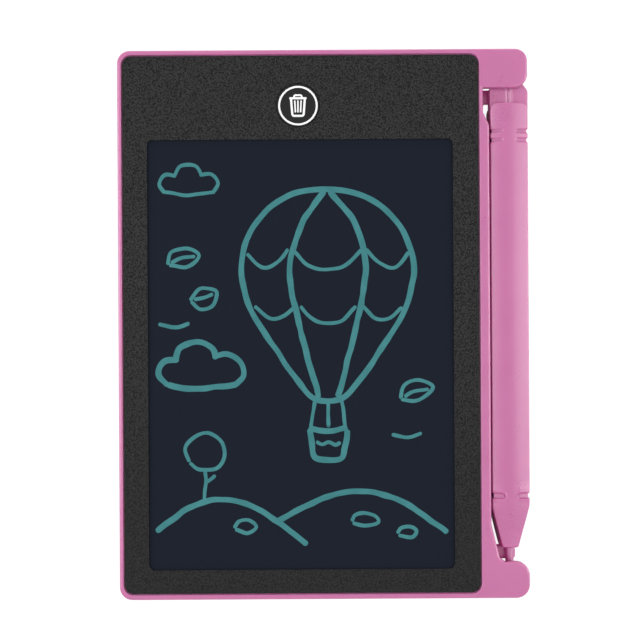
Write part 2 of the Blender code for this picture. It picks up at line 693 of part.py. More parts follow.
def erase_button(finish):
    """Round cap flush with the panel, with a flange behind it and a stem to the switch."""
    edge = BUTTON_EDGE_RADIUS
    profile = [(0, PANEL_FRONT_Z), (BUTTON_RADIUS - edge, PANEL_FRONT_Z),
               (BUTTON_RADIUS, PANEL_FRONT_Z - edge), (BUTTON_RADIUS, LEDGE_Z),
               (BUTTON_RADIUS + BUTTON_FLANGE, LEDGE_Z),
               (BUTTON_RADIUS + BUTTON_FLANGE, FLANGE_BACK_Z), (BUTTON_STEM_RADIUS, FLANGE_BACK_Z),
               (BUTTON_STEM_RADIUS, STEM_Z), (0, STEM_Z)]
    return place_part(turned("erase_button", profile, BUTTON_X, BUTTON_Y), finish)


def push_switch(finishes):
    """Moulded base with a round cavity, steel cover with a hole, and the plunger between."""
    half = SWITCH_SIDE / 2
    x_range = (BUTTON_X - half, BUTTON_X + half)
    y_range = (BUTTON_Y - half, BUTTON_Y + half)
    body = block("switch_body", x_range, y_range, (SOLDER_Z, SWITCH_BODY_Z))
    place_part(body, finishes["switch"])
    cut(body, disc("switch_cavity", BUTTON_X, BUTTON_Y, SWITCH_CAVITY_RADIUS,
                   SOLDER_Z + SWITCH_BASE_THICKNESS, SWITCH_BODY_Z + OVERRUN, ROUND_STEPS // 2))
    cover = slab("switch_cover", rectangle(*x_range, *y_range, PLUNGER_GAP),
                 SWITCH_COVER_Z - SWITCH_COVER_THICKNESS, SWITCH_COVER_Z)
    place_part(cover, finishes["steel"])
    cut(cover, disc("switch_cover_hole", BUTTON_X, BUTTON_Y, PLUNGER_RADIUS + PLUNGER_GAP,
                    SWITCH_COVER_Z - OVERRUN, SWITCH_COVER_Z + OVERRUN, ROUND_STEPS // 2))
    flange_high = SWITCH_BODY_Z - SEAT_GAP
    flange_low = flange_high - PLUNGER_FLANGE_THICKNESS
    profile = [(0, PLUNGER_TOP_Z), (PLUNGER_RADIUS, PLUNGER_TOP_Z), (PLUNGER_RADIUS, flange_high),
               (PLUNGER_FLANGE_RADIUS, flange_high), (PLUNGER_FLANGE_RADIUS, flange_low), (0, flange_low)]
    place_part(turned("switch_plunger", profile, BUTTON_X, BUTTON_Y, ROUND_STEPS // 2), finishes["plunger"])


def component(name, x, y, length, width, height, finish):
    """Box soldered to the board, with its middle at x, y."""
    body = block(name, (x - length / 2, x + length / 2), (y - width / 2, y + width / 2),
                 (SOLDER_Z, SOLDER_Z + height))
    return place_part(body, finish)


def screw_profile(head_radius, head_low, head_high, shank_radius, shank_end):
    """Pan-head screw from head to point, for a screw driven down."""
    point = shank_end + shank_radius
    return [(0, head_high), (head_radius * SCREW_CROWN_SHARE, head_high),
            (head_radius, (head_high + head_low) / 2),
            (head_radius, head_low), (shank_radius, head_low), (shank_radius, point),
            (0, shank_end)]


def circuit_board(finishes):
    board = block("circuit_board", (BOARD_LEFT, BOARD_RIGHT), (BOARD_BOTTOM, BOARD_TOP),
                  (BOARD_BACK_Z, BOARD_FRONT_Z))
    place_part(board, finishes["board"])
    for number, (x, y) in enumerate(board_screw_places()):
        cut(board, disc(f"board_hole_{number + 1}", x, y, BOARD_SCREW_RADIUS + SCREW_HOLE_GAP,
                        BOARD_BACK_Z - OVERRUN, BOARD_FRONT_Z + OVERRUN, ROUND_STEPS // 2))
        head_high = SOLDER_Z + BOARD_SCREW_HEAD_HEIGHT
        profile = screw_profile(BOARD_SCREW_HEAD_RADIUS, SOLDER_Z, head_high, BOARD_SCREW_RADIUS,
                                SOLDER_Z - BOARD_SCREW_LENGTH)
        place_part(turned(f"board_screw_{number + 1}", profile, x, y, ROUND_STEPS // 2), finishes["steel"])
    chip_x = BOARD_LEFT + BOARD_SCREW_INSET * 2 + CHIP_LENGTH / 2
    chip_y = BOARD_TOP - COMPONENT_INSET - CHIP_WIDTH / 2
    component("driver_chip", chip_x, chip_y, CHIP_LENGTH, CHIP_WIDTH, CHIP_HEIGHT, finishes["switch"])
    inductor_x = chip_x + CHIP_LENGTH / 2 + COMPONENT_GAP + INDUCTOR_SIDE / 2
    component("inductor", inductor_x, chip_y, INDUCTOR_SIDE, INDUCTOR_SIDE, INDUCTOR_HEIGHT,
              finishes["ferrite"])
    side_x = BOARD_LEFT + RIBBON_INSET + RIBBON_WIDTH + COMPONENT_GAP + CAPACITOR_LENGTH / 2
    low_y = BOARD_BOTTOM + COMPONENT_INSET + CAPACITOR_WIDTH / 2
    places = ((side_x, low_y), (side_x, low_y + CAPACITOR_WIDTH + COMPONENT_GAP),
              (inductor_x + INDUCTOR_SIDE / 2 + COMPONENT_GAP + CAPACITOR_LENGTH / 2, chip_y))
    for number, (x, y) in enumerate(places):
        component(f"capacitor_{number + 1}", x, y, CAPACITOR_LENGTH, CAPACITOR_WIDTH, CAPACITOR_HEIGHT,
                  finishes["capacitor"])


def film_ribbon(finish):
    """Flat lead that leaves the film's upper edge and drops on to the board."""
    x = BOARD_LEFT + RIBBON_INSET + RIBBON_WIDTH / 2
    start_y = WINDOW_TOP + FILM_BORDER + SEAT_GAP
    start_z = (FILM_FRONT_Z + FILM_BACK_Z) / 2
    end_y = BOARD_BOTTOM + RIBBON_REACH
    end_z = SOLDER_Z + RIBBON_THICKNESS / 2
    level = (end_y - start_y) * RIBBON_LEVEL_SHARE
    path = []
    for step in range(ARC_STEPS * 2 + 1):
        share = step / (ARC_STEPS * 2)
        swing = (1 - math.cos(math.pi * share)) / 2
        sway = level * RIBBON_SWAY_SHARE * math.sin(2 * math.pi * share)
        path.append((start_y + level + (end_y - start_y - 2 * level) * share + sway,
                     start_z + (end_z - start_z) * swing))
    path.insert(0, (start_y, start_z))
    path.append((end_y, end_z))
    ribbon = strip("film_ribbon", path, x, RIBBON_WIDTH, RIBBON_THICKNESS, along_x=False)
    return place_part(ribbon, finish)


def coin_cell(finishes):
    """Can open to the front, a sealing ring inside it and the cap that the ring grips."""
    wall = CELL_WALL
    ring_outer = CELL_RADIUS - wall - SEAT_GAP
    ring_inner = ring_outer - CELL_GASKET_WIDTH
    inner_low = CELL_LOW_Z + wall
    rim_z = CELL_TOP_Z - wall
    can = [(0, inner_low), (CELL_RADIUS - wall, inner_low), (CELL_RADIUS - wall, rim_z),
           (CELL_RADIUS, rim_z), (CELL_RADIUS, CELL_LOW_Z + wall / 2),
           (CELL_RADIUS - wall / 2, CELL_LOW_Z), (0, CELL_LOW_Z)]
    place_part(turned("cell_can", can, BAY_X, BAY_Y), finishes["steel"])
    ring_low = inner_low + SEAT_GAP
    ring = [(ring_inner, rim_z), (ring_outer, rim_z), (ring_outer, ring_low), (ring_inner, ring_low)]
    place_part(turned("cell_gasket", ring, BAY_X, BAY_Y), finishes["switch"])
    cap_outer = ring_inner - SEAT_GAP
    cap = [(0, CELL_TOP_Z), (cap_outer - wall, CELL_TOP_Z), (cap_outer - wall / 2, CELL_TOP_Z - wall / 2),
           (cap_outer, rim_z), (cap_outer, ring_low), (0, ring_low)]
    place_part(turned("cell_cap", cap, BAY_X, BAY_Y), finishes["steel"])


def battery_contacts(finish):
    """Sprung strips from pads on the board to the cell: one to its rim, one to its cap."""
    half = CONTACT_THICKNESS / 2
    pad_z = SOLDER_Z + half
    pad_x = BOARD_RIGHT - CONTACT_PAD
    past_board = BOARD_RIGHT + CONTACT_THICKNESS * 2
    nearest = max(abs(POSITIVE_CONTACT_Y - BAY_Y) - CONTACT_WIDTH / 2, 0)
    edge_reach = math.sqrt(CELL_RADIUS ** 2 - nearest ** 2)
    touch_x = BAY_X - edge_reach - CONTACT_GAP - half
    level = positive_level()
    wall_x = BAY_X - WELL_OUTER_RADIUS
    path = [(pad_x, pad_z), (past_board, pad_z), (wall_x - CONTACT_THICKNESS, level), (touch_x, level)]
    positive = strip("positive_contact", path, POSITIVE_CONTACT_Y, CONTACT_WIDTH, CONTACT_THICKNESS)
    place_part(positive, finish)
    over_z = CEILING_Z + CONTACT_GAP + half
    touch_z = CELL_TOP_Z + CONTACT_GAP + half
    drop = over_z - touch_z
    path = [(pad_x, pad_z), (past_board, pad_z), (wall_x - CONTACT_THICKNESS, over_z),
            (negative_dip(), over_z), (negative_dip() + drop, touch_z),
            (negative_end() - CONTACT_SLOT_GAP, touch_z)]
    negative = strip("negative_contact", path, NEGATIVE_CONTACT_Y, CONTACT_WIDTH, CONTACT_THICKNESS)
    place_part(negative, finish)


def battery_cover(finishes):
    """Cover flush with the rear face: two tabs at one end, a countersunk screw at the other."""
    outline = rectangle(BAY_X - COVER_HALF_WIDTH, BAY_X + COVER_HALF_WIDTH, COVER_BOTTOM, COVER_TOP,
                        COVER_RADIUS)
    cover = slab("battery_cover", outline, COVER_RECESS, COVER_BACK_Z, COVER_EDGE_RADIUS)
    place_part(cover, finishes["pink"])
    for number, x in enumerate(tab_places()):
        join(cover, block(f"cover_tab_{number + 1}", (x - TAB_WIDTH / 2, x + TAB_WIDTH / 2),
                          (COVER_TOP - TAB_REACH, COVER_TOP + TAB_REACH),
                          (COVER_BACK_Z - TAB_THICKNESS, COVER_BACK_Z)))
    head_low = COVER_RECESS + SEAT_GAP
    head_high = head_low + COVER_SCREW_HEAD_HEIGHT
    cut(cover,
        disc("cover_screw_sink", BAY_X, COVER_SCREW_Y, COVER_SCREW_HEAD_RADIUS + COVER_GAP, -OVERRUN,
             head_high + SEAT_GAP),
        disc("cover_screw_pass", BAY_X, COVER_SCREW_Y, COVER_SCREW_RADIUS + COVER_GAP, -OVERRUN,
             COVER_BACK_Z + OVERRUN, ROUND_STEPS // 2))
    for number in range(GRIP_LINE_COUNT):
        y = BAY_Y + (number - (GRIP_LINE_COUNT - 1) / 2) * GRIP_LINE_SPACING
        cut(cover, block(f"grip_line_{number + 1}",
                         (BAY_X - GRIP_LINE_LENGTH / 2, BAY_X + GRIP_LINE_LENGTH / 2),
                         (y - GRIP_LINE_WIDTH / 2, y + GRIP_LINE_WIDTH / 2),
                         (-OVERRUN, COVER_RECESS + GRIP_LINE_DEPTH)))
    end = head_high + COVER_SCREW_LENGTH
    profile = [(0, end), (COVER_SCREW_RADIUS, end - COVER_SCREW_RADIUS), (COVER_SCREW_RADIUS, head_high),
               (COVER_SCREW_HEAD_RADIUS, head_high), (COVER_SCREW_HEAD_RADIUS, (head_low + head_high) / 2),
               (COVER_SCREW_HEAD_RADIUS * SCREW_CROWN_SHARE, head_low), (0, head_low)]
    screw = turned("battery_cover_screw", profile, BAY_X, COVER_SCREW_Y)
    place_part(screw, finishes["steel"])
    long_half = COVER_SCREW_HEAD_RADIUS * CROSS_RECESS_SHARE
    short_half = CROSS_RECESS_WIDTH / 2
    for number, (x_half, y_half) in enumerate(((long_half, short_half), (short_half, long_half))):
        cut(screw, block(f"cross_recess_{number + 1}", (BAY_X - x_half, BAY_X + x_half),
                         (COVER_SCREW_Y - y_half, COVER_SCREW_Y + y_half),
                         (-OVERRUN, head_low + CROSS_RECESS_DEPTH)))


def stylus_ring(y, side_inset, depth_inset, edge_radius, inset=0):
    """Section of the stylus at y: crowned front face, upright sides and round corners."""
    left = STYLUS_LEFT + side_inset + inset
    right = STYLUS_RIGHT - side_inset - inset
    low = STYLUS_REAR_Z + depth_inset + inset
    high = STYLUS_FRONT_Z - depth_inset - inset
    half = (right - left) / 2
    crown = STYLUS_CROWN * (right - left) / STYLUS_WIDTH
    radius = min(max(edge_radius - inset, edge_radius * CORE_RADIUS_SHARE), half * WIDEST_RADIUS_SHARE)
    corners = [(left, low, radius), (right, low, radius)]
    for step in range(CROWN_STEPS + 1):
        share = 1 - 2 * step / CROWN_STEPS
        at_side = step in (0, CROWN_STEPS)
        corners.append((STYLUS_X + half * share, high - crown * share * share, radius if at_side else 0))
    return [(x, y, z) for x, z in rounded(corners)]


def stylus_rings(inset=0):
    """Sections from the rounded head to the tip; the last stretch tapers on all sides."""
    rings = []
    for step in range(EDGE_STEPS + 1):
        angle = math.pi / 2 * step / EDGE_STEPS
        back = STYLUS_HEAD_RADIUS * (1 - math.cos(angle))
        drop = STYLUS_HEAD_RADIUS * (1 - math.sin(angle))
        rings.append(stylus_ring(STYLUS_HEAD_Y - back - inset, drop, drop, STYLUS_EDGE_RADIUS, inset))
    rings.append(stylus_ring(STYLUS_TAPER_Y, 0, 0, STYLUS_EDGE_RADIUS, inset))
    side = (STYLUS_WIDTH - STYLUS_TIP_WIDTH) / 2
    depth = (STYLUS_FRONT_Z - STYLUS_REAR_Z - STYLUS_TIP_DEPTH) / 2
    rings.append(stylus_ring(STYLUS_TIP_Y + inset, side, depth, STYLUS_TIP_RADIUS, inset))
    return rings


def grip_cutter(name, y, width, length, depth, right):
    """Round-ended slot around one side of the stylus, as deep everywhere as asked."""
    half = width / 2
    end_radius = half * ROUND_END_SHARE
    if right:
        corners = [(STYLUS_RIGHT - length, y - half, end_radius), (RIGHT + OVERRUN * 2, y - half, 0),
                   (RIGHT + OVERRUN * 2, y + half, 0), (STYLUS_RIGHT - length, y + half, end_radius)]
    else:
        corners = [(STYLUS_LEFT - OVERRUN, y - half, 0), (STYLUS_LEFT + length, y - half, end_radius),
                   (STYLUS_LEFT + length, y + half, end_radius), (STYLUS_LEFT - OVERRUN, y + half, 0)]
    cutter = slab(name, rounded(corners), STYLUS_REAR_Z - OVERRUN, STYLUS_FRONT_Z + OVERRUN)
    core = loft(f"{name}_core", stylus_rings(depth))
    cut(cutter, core)
    return cutter


def stylus_tongue():
    """Thin tongue that runs from the head under the upper ear, with its two shoulders."""
    left = STYLUS_LEFT + TONGUE_SIDE_INSET
    right = STYLUS_RIGHT - TONGUE_SIDE_INSET
    chamfer_y = UPPER_EAR_Y + TONGUE_GAP
    shoulder_y = UPPER_EAR_Y + TONGUE_SHOULDER_REACH
    start_y = STYLUS_HEAD_Y - STYLUS_HEAD_RADIUS * 2
    end_y = STYLUS_HEAD_Y + TONGUE_LENGTH
    inner_radius = (TONGUE_SHOULDER - TONGUE_SHOULDER_RADIUS) * ROUND_END_SHARE
    outline = rounded([
        (left, start_y, 0),
        (right, start_y, 0),
        (right, shoulder_y, TONGUE_SHOULDER_RADIUS),
        (right - TONGUE_SHOULDER, shoulder_y, inner_radius),
        (right - TONGUE_SHOULDER, end_y, TONGUE_END_RADIUS),
        (left + TONGUE_CHAMFER, end_y, TONGUE_END_RADIUS),
        (left + TONGUE_CHAMFER, chamfer_y, 0),
        (left, chamfer_y - TONGUE_CHAMFER, 0),
    ])
    return slab("stylus_tongue", outline, REST_THICKNESS + TONGUE_GAP, EAR_BACK_Z - TONGUE_GAP,
                TONGUE_EDGE_RADIUS, TONGUE_EDGE_RADIUS)


def tongue_groove():
    """V-shaped groove along the middle of the tongue's front face."""
    half = TONGUE_GROOVE_WIDTH / 2
    face = EAR_BACK_Z - TONGUE_GAP
    rings = []
    for y in (STYLUS_HEAD_Y, STYLUS_HEAD_Y + TONGUE_LENGTH + OVERRUN):
        rings.append([(STYLUS_X, y, face - TONGUE_GROOVE_DEPTH), (STYLUS_X + half, y, face),
                      (STYLUS_X + half, y, face + OVERRUN), (STYLUS_X - half, y, face + OVERRUN),
                      (STYLUS_X - half, y, face)])
    return loft("tongue_groove", rings)


def head_corner(right):
    """What is cut off one corner of the head above the tongue, to leave a round corner."""
    radius = STYLUS_HEAD_CORNER
    low = EAR_BACK_Z - TONGUE_GAP + SEAT_GAP
    if right:
        x_range, middle_x = (STYLUS_RIGHT - radius, STYLUS_RIGHT + OVERRUN), STYLUS_RIGHT - radius
    else:
        x_range, middle_x = (STYLUS_LEFT - OVERRUN, STYLUS_LEFT + radius), STYLUS_LEFT + radius
    side = "right" if right else "left"
    corner = block(f"head_corner_{side}", x_range, (STYLUS_HEAD_Y - radius, STYLUS_HEAD_Y + OVERRUN),
                   (low, STYLUS_FRONT_Z + OVERRUN))
    cut(corner, disc(f"head_corner_core_{side}", middle_x, STYLUS_HEAD_Y - radius, radius,
                     low - OVERRUN, STYLUS_FRONT_Z + OVERRUN * 2))
    return corner


def lying_pin(name, radius, start_y, end_y, tip=False, steps=ROUND_STEPS // 2):
    """Round pin along Y at the stylus's axis, with a rounded far end if it is the nib."""
    rings = []
    stations = [(start_y, radius), (end_y, radius)]
    if tip:
        flat = radius * NIB_FLAT_SHARE
        arc = [math.pi / 2 * step / EDGE_STEPS for step in range(EDGE_STEPS + 1)]
        stations[1:] = [(end_y + radius * (1 - math.sin(angle)), flat + (radius - flat) * math.cos(angle))
                        for angle in arc]
    for y, reach in stations:
        rings.append([(STYLUS_X + reach * math.cos(2 * math.pi * step / steps), y,
                       STYLUS_Z + reach * math.sin(2 * math.pi * step / steps)) for step in range(steps)])
    return loft(name, rings)


def stylus(finish):
    """Barrel with tongue, finger dents and side grooves, and the nib pressed into its tip."""
    barrel = loft("stylus_barrel", stylus_rings())
    place_part(barrel, finish)
    join(barrel, stylus_tongue())
    cut(barrel, tongue_groove())
    for right in (False, True):
        side = "right" if right else "left"
        cut(barrel, head_corner(right))
        for number in range(2):
            y = STYLUS_HEAD_Y - DENT_FROM_HEAD - DENT_PITCH * number
            cut(barrel, grip_cutter(f"dent_{side}_{number + 1}", y, DENT_WIDTH, DENT_LENGTH, DENT_DEPTH,
                                    right))
        cut(barrel, grip_cutter(f"groove_{side}", STYLUS_TAPER_Y + GROOVE_FROM_TAPER, GROOVE_WIDTH,
                                GROOVE_LENGTH, GROOVE_DEPTH, right))
    bore_end = STYLUS_TIP_Y + NIB_SHANK
    cut(barrel, lying_pin("nib_bore", NIB_RADIUS + NIB_BORE_GAP, bore_end + NIB_BORE_GAP,
                          STYLUS_TIP_Y - OVERRUN))
    nib = lying_pin("stylus_nib", NIB_RADIUS, bore_end, LOWER_EAR_Y - NIB_REACH, tip=True)
    place_part(nib, finish)


def build():
    clear_scene()
    collection(PARTS_NAME)
    collection(CUTTERS_NAME)
    finishes = {
        "pink": material("pink_plastic", (0.580, 0.180, 0.390), 0.42),
        "black": material("black_textured_plastic", (0.035, 0.035, 0.035), 0.65),
        "film": material("writing_film", (0.015, 0.019, 0.030), 0.12),
        "sheet": material("black_sheet", (0.010, 0.010, 0.011), 0.80),
        "tape": material("adhesive_tape", (0.70, 0.68, 0.62), 0.60),
        "plate": material("stiff_plate", (0.75, 0.75, 0.73), 0.55),
        "foam": material("foam", (0.05, 0.05, 0.05), 0.95),
        "board": material("board_laminate", (0.02, 0.16, 0.06), 0.45),
        "switch": material("black_component", (0.02, 0.02, 0.02), 0.50),
        "plunger": material("switch_plunger", (0.45, 0.10, 0.06), 0.45),
        "steel": material("steel", (0.62, 0.62, 0.60), 0.30, 1.0),
        "ferrite": material("ferrite", (0.10, 0.10, 0.11), 0.60),
        "capacitor": material("capacitor", (0.42, 0.30, 0.18), 0.50),
        "ribbon": material("ribbon", (0.55, 0.28, 0.06), 0.40),
        "contact": material("sprung_contact", (0.72, 0.68, 0.58), 0.30, 1.0),
    }
    rear_housing(finishes["pink"])
    front_panel(finishes["black"])
    window_layers(finishes)
    erase_button(finishes["black"])
    push_switch(finishes)
    circuit_board(finishes)
    film_ribbon(finishes["ribbon"])
    coin_cell(finishes)
    battery_contacts(finishes["contact"])
    battery_cover(finishes)
    stylus(finishes["pink"])


build()
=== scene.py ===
import math

import bmesh
import bpy
import numpy as np
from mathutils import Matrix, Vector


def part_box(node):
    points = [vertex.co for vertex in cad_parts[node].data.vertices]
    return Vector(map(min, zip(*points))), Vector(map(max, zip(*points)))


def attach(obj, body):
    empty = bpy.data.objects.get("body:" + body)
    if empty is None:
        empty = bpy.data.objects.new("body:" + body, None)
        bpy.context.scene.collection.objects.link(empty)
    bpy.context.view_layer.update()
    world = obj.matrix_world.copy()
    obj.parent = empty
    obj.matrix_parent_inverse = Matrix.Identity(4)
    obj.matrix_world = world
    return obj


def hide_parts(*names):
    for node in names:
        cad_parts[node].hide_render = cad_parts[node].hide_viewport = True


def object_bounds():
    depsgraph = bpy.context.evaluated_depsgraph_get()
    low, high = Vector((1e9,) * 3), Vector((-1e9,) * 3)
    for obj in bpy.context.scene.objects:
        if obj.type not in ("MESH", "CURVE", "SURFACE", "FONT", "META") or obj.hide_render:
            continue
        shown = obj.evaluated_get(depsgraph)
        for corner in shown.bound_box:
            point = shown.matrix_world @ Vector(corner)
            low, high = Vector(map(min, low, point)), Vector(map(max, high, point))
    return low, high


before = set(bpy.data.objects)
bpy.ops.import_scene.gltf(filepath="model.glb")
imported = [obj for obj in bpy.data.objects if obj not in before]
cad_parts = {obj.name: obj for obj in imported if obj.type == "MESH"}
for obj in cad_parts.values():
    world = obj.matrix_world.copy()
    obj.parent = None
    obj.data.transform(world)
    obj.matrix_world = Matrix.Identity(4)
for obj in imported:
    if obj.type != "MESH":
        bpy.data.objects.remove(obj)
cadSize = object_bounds()
mm = 0.001
print("frame loaded:", len(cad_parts), "nodes")


# shader maths

class Wire:
    # one socket of a shader; a sum written with it adds the Math nodes that it needs
    def __init__(self, shader, socket):
        self.shader = shader
        self.socket = socket


def operatorPair(operation):
    # what wire + other does, and what other + wire does
    return (lambda self, other: self.shader.maths(operation, self, other),
            lambda self, other: self.shader.maths(operation, other, self))


for word, operation in {"add": "ADD", "sub": "SUBTRACT", "mul": "MULTIPLY", "truediv": "DIVIDE"}.items():
    forwards, backwards = operatorPair(operation)
    setattr(Wire, f"__{word}__", forwards)
    setattr(Wire, f"__r{word}__", backwards)


def plug(tree, place, value):
    if isinstance(value, Wire):
        tree.links.new(value.socket, place)
    elif isinstance(value, tuple) and len(value) == 3 and place.type == "RGBA":
        place.default_value = (*value, 1.0)
    else:
        place.default_value = value


class Shader:
    # the nodes of a material or of the world, and the few kinds that every finish is made of
    def __init__(self, owner):
        owner.use_nodes = True
        self.tree = owner.node_tree
        self.tree.nodes.clear()

    def node(self, kind, settings=None, sockets=None, output=0):
        # settings come first, because they decide which sockets the node has
        made = self.tree.nodes.new("ShaderNode" + kind)
        for name, value in (settings or {}).items():
            setattr(made, name, value)
        for name, value in (sockets or {}).items():
            plug(self.tree, made.inputs[name], value)
        return Wire(self, made.outputs[output])

    def maths(self, operation, *values):
        return self.node("Math", {"operation": operation}, dict(enumerate(values)))

    def place(self):
        return self.node("TexCoord", output="Object")

    def noise(self, size, detail=2.0, rough=0.5, stretch=(1.0, 1.0, 1.0)):
        # size is the width of one blotch in metres
        at = self.node("VectorMath", {"operation": "MULTIPLY"}, {0: self.place(), 1: stretch})
        return self.node("TexNoise", None, {"Vector": at, "Scale": 1 / size, "Detail": detail,
                                            "Roughness": rough})

    def cells(self, size, feature="F1", output=0):
        at = self.place()
        return self.node("TexVoronoi", {"feature": feature}, {"Vector": at, "Scale": 1 / size}, output)

    def step(self, value, low, high, toLow=0.0, toHigh=1.0):
        # smooth step from toLow at low to toHigh at high
        return self.node("MapRange", {"interpolation_type": "SMOOTHSTEP"},
                         {"Value": value, "From Min": low, "From Max": high, "To Min": toLow,
                          "To Max": toHigh})

    def blend(self, share, first, second):
        return self.node("Mix", {"data_type": "RGBA"}, {0: share, 6: first, 7: second}, 2)

    def split(self, vector):
        first = self.node("SeparateXYZ", None, {0: vector})
        return [Wire(self, out) for out in first.socket.node.outputs]

    def bump(self, height, depth, onto=None):
        sockets = {"Height": height, "Distance": depth, "Strength": 1.0}
        if onto is not None:
            sockets["Normal"] = onto
        return self.node("Bump", None, sockets)

    def end(self, kind, wire):
        output = self.tree.nodes.new("ShaderNodeOutput" + kind)
        self.tree.links.new(wire.socket, output.inputs[0])


def finish(name, build, fixed):
    # build(shader) returns what varies over the surface; fixed numbers go straight to the sockets
    material = bpy.data.materials.new(name)
    shader = Shader(material)
    varying = zip(("Base Color", "Roughness", "Normal", "Emission Color"), build(shader))
    shader.end("Material", shader.node("BsdfPrincipled", None, {**fixed, **dict(varying)}))
    return material


# surfaces

mergeWithin = 2e-7      # metres: points nearer than this become one
mergeInCad = 1e-6
levelWithin = 1e-7


def addObject(name, data):
    made = bpy.data.objects.new(name, data)
    bpy.context.scene.collection.objects.link(made)
    return made


def gridFaces(rows, columns):
    # quads of a grid of rows x columns points, whose last column meets the first
    row, column = np.meshgrid(np.arange(rows - 1), np.arange(columns), indexing="ij")
    nextColumn = (column + 1) % columns
    quads = (row * columns + column, row * columns + nextColumn,
             (row + 1) * columns + nextColumn, (row + 1) * columns + column)
    return np.stack(quads, axis=-1).reshape(-1, 4)


def addPiece(name, surfaces, look, body, stands=(), sharp=35, fill=()):
    # surfaces: grids (rows, columns, 3) of points, each closed along its columns, joined in one mesh
    # fill: heights at which the open outlines are filled with a flat face
    points, faces, used = [], [], 0
    for surface in surfaces:
        rows, columns = surface.shape[:2]
        points.append(surface.reshape(-1, 3))
        faces.append(gridFaces(rows, columns) + used)
        used += rows * columns
    mesh = bpy.data.meshes.new(name)
    mesh.from_pydata(np.concatenate(points).tolist(), [], np.concatenate(faces).tolist())

    def closeFaces(shape):
        for height in fill:
            rim = [edge for edge in shape.edges if edge.is_boundary
                   and all(abs(vert.co.z - height) < levelWithin for vert in edge.verts)]
            bmesh.ops.triangle_fill(shape, use_beauty=True, edges=rim)

    tidyMesh(mesh, mergeWithin, closeFaces)
    placePiece(name, mesh, look, body, stands, sharp)


def tidyMesh(mesh, near, change):
    # points nearer than near become one, change(shape) is made, and faces are turned outwards
    shape = bmesh.new()
    shape.from_mesh(mesh)
    bmesh.ops.remove_doubles(shape, verts=shape.verts, dist=near)
    change(shape)
    bmesh.ops.recalc_face_normals(shape, faces=shape.faces)
    shape.to_mesh(mesh)
    shape.free()


def placePiece(name, mesh, look, body, stands=(), sharp=35, soften=0):
    mesh.shade_smooth()
    mesh.set_sharp_from_angle(angle=math.radians(sharp))
    mesh.materials.clear()
    mesh.materials.append(finishes[look])
    piece = addObject(name, mesh)
    if soften:
        bevel = piece.modifiers.new("softEdges", "BEVEL")
        bevel.width = soften
        bevel.segments = 3
        bevel.limit_method = "ANGLE"
        bevel.angle_limit = math.radians(40)
        bevel.use_clamp_overlap = True
    flat = piece.modifiers.new("flatFaces", "WEIGHTED_NORMAL")
    flat.keep_sharp = True
    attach(piece, body)
    if stands:
        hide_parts(*stands)


def unit(vectors):
    return vectors / np.linalg.norm(vectors, axis=1)[:, None]


def leftOf(ahead):
    return np.stack([-ahead[:, 1], ahead[:, 0]], axis=1)


def roundedOutline(corners, steps=20):
    # corners (x, y, radius): each becomes an arc that touches both of its sides
    spots = np.array(corners, float)
    here, radius = spots[:, :2], spots[:, 2]
    toLast, toNext = (unit(np.roll(here, way, axis=0) - here) for way in (1, -1))
    halfTurn = np.arccos(np.clip((toLast * toNext).sum(1), -1, 1)) / 2
    inward = unit(toLast + toNext)
    arcs = []
    for spot, r, half, middle, back in zip(here, radius, halfTurn, inward, toLast):
        if r <= 0:
            arcs.append(spot[None])
            continue
        centre = spot + middle * r / math.sin(half)
        start = spot + back * r / math.tan(half) - centre
        sweep = math.pi - 2 * half
        if start[0] * -middle[1] - start[1] * -middle[0] < 0:
            sweep = -sweep
        turn = np.linspace(0, sweep, steps + 1)[:, None]
        across = np.array([-start[1], start[0]])
        arcs.append(centre + start * np.cos(turn) + across * np.sin(turn))
    return np.concatenate(arcs)


def insetLoop(loop, inset):
    # every side moves to its left by inset, and each point goes with its two sides
    left = leftOf(unit(np.roll(loop, -1, axis=0) - loop))
    lastLeft = np.roll(left, 1, axis=0)
    shift = (left + lastLeft) / (1 + (left * lastLeft).sum(1))[:, None]
    return loop + shift * inset


def roundIn(share, radius):
    # how far a quarter circle has turned in after this share of its radius
    return radius * (1 - np.sqrt(1 - share ** 2))


def wallProfile(low, high, lowRadius, highRadius, steps=5):
    # (inset, height) up a wall: quarter circle, straight wall, quarter circle
    turn = np.linspace(0, math.pi / 2, steps + 1)
    foot = np.stack([lowRadius * (1 - np.sin(turn)), low + lowRadius * (1 - np.cos(turn))], axis=1)
    head = np.stack([highRadius * (1 - np.cos(turn)), high - highRadius * (1 - np.sin(turn))], axis=1)
    return np.concatenate([foot, head])


def wallAlong(loop, profile):
    # an outline carried up a profile; material lies to the outline's left
    rings = [np.column_stack([insetLoop(loop, inset), np.full(len(loop), height)])
             for inset, height in profile]
    return np.stack(rings)


def turned(profile, centre, steps=96, along="z"):
    # a profile of (radius, place along the axis) turned once round that axis
    profile = np.array(profile, float)
    angle = np.linspace(0, 2 * math.pi, steps, endpoint=False)
    across = profile[:, :1] * np.cos(angle)
    around = profile[:, :1] * np.sin(angle)
    level = np.repeat(profile[:, 1:], steps, axis=1)
    order = (across, around, level) if along == "z" else (across, level, around)
    return np.stack(order, axis=-1) + np.array(centre, float)


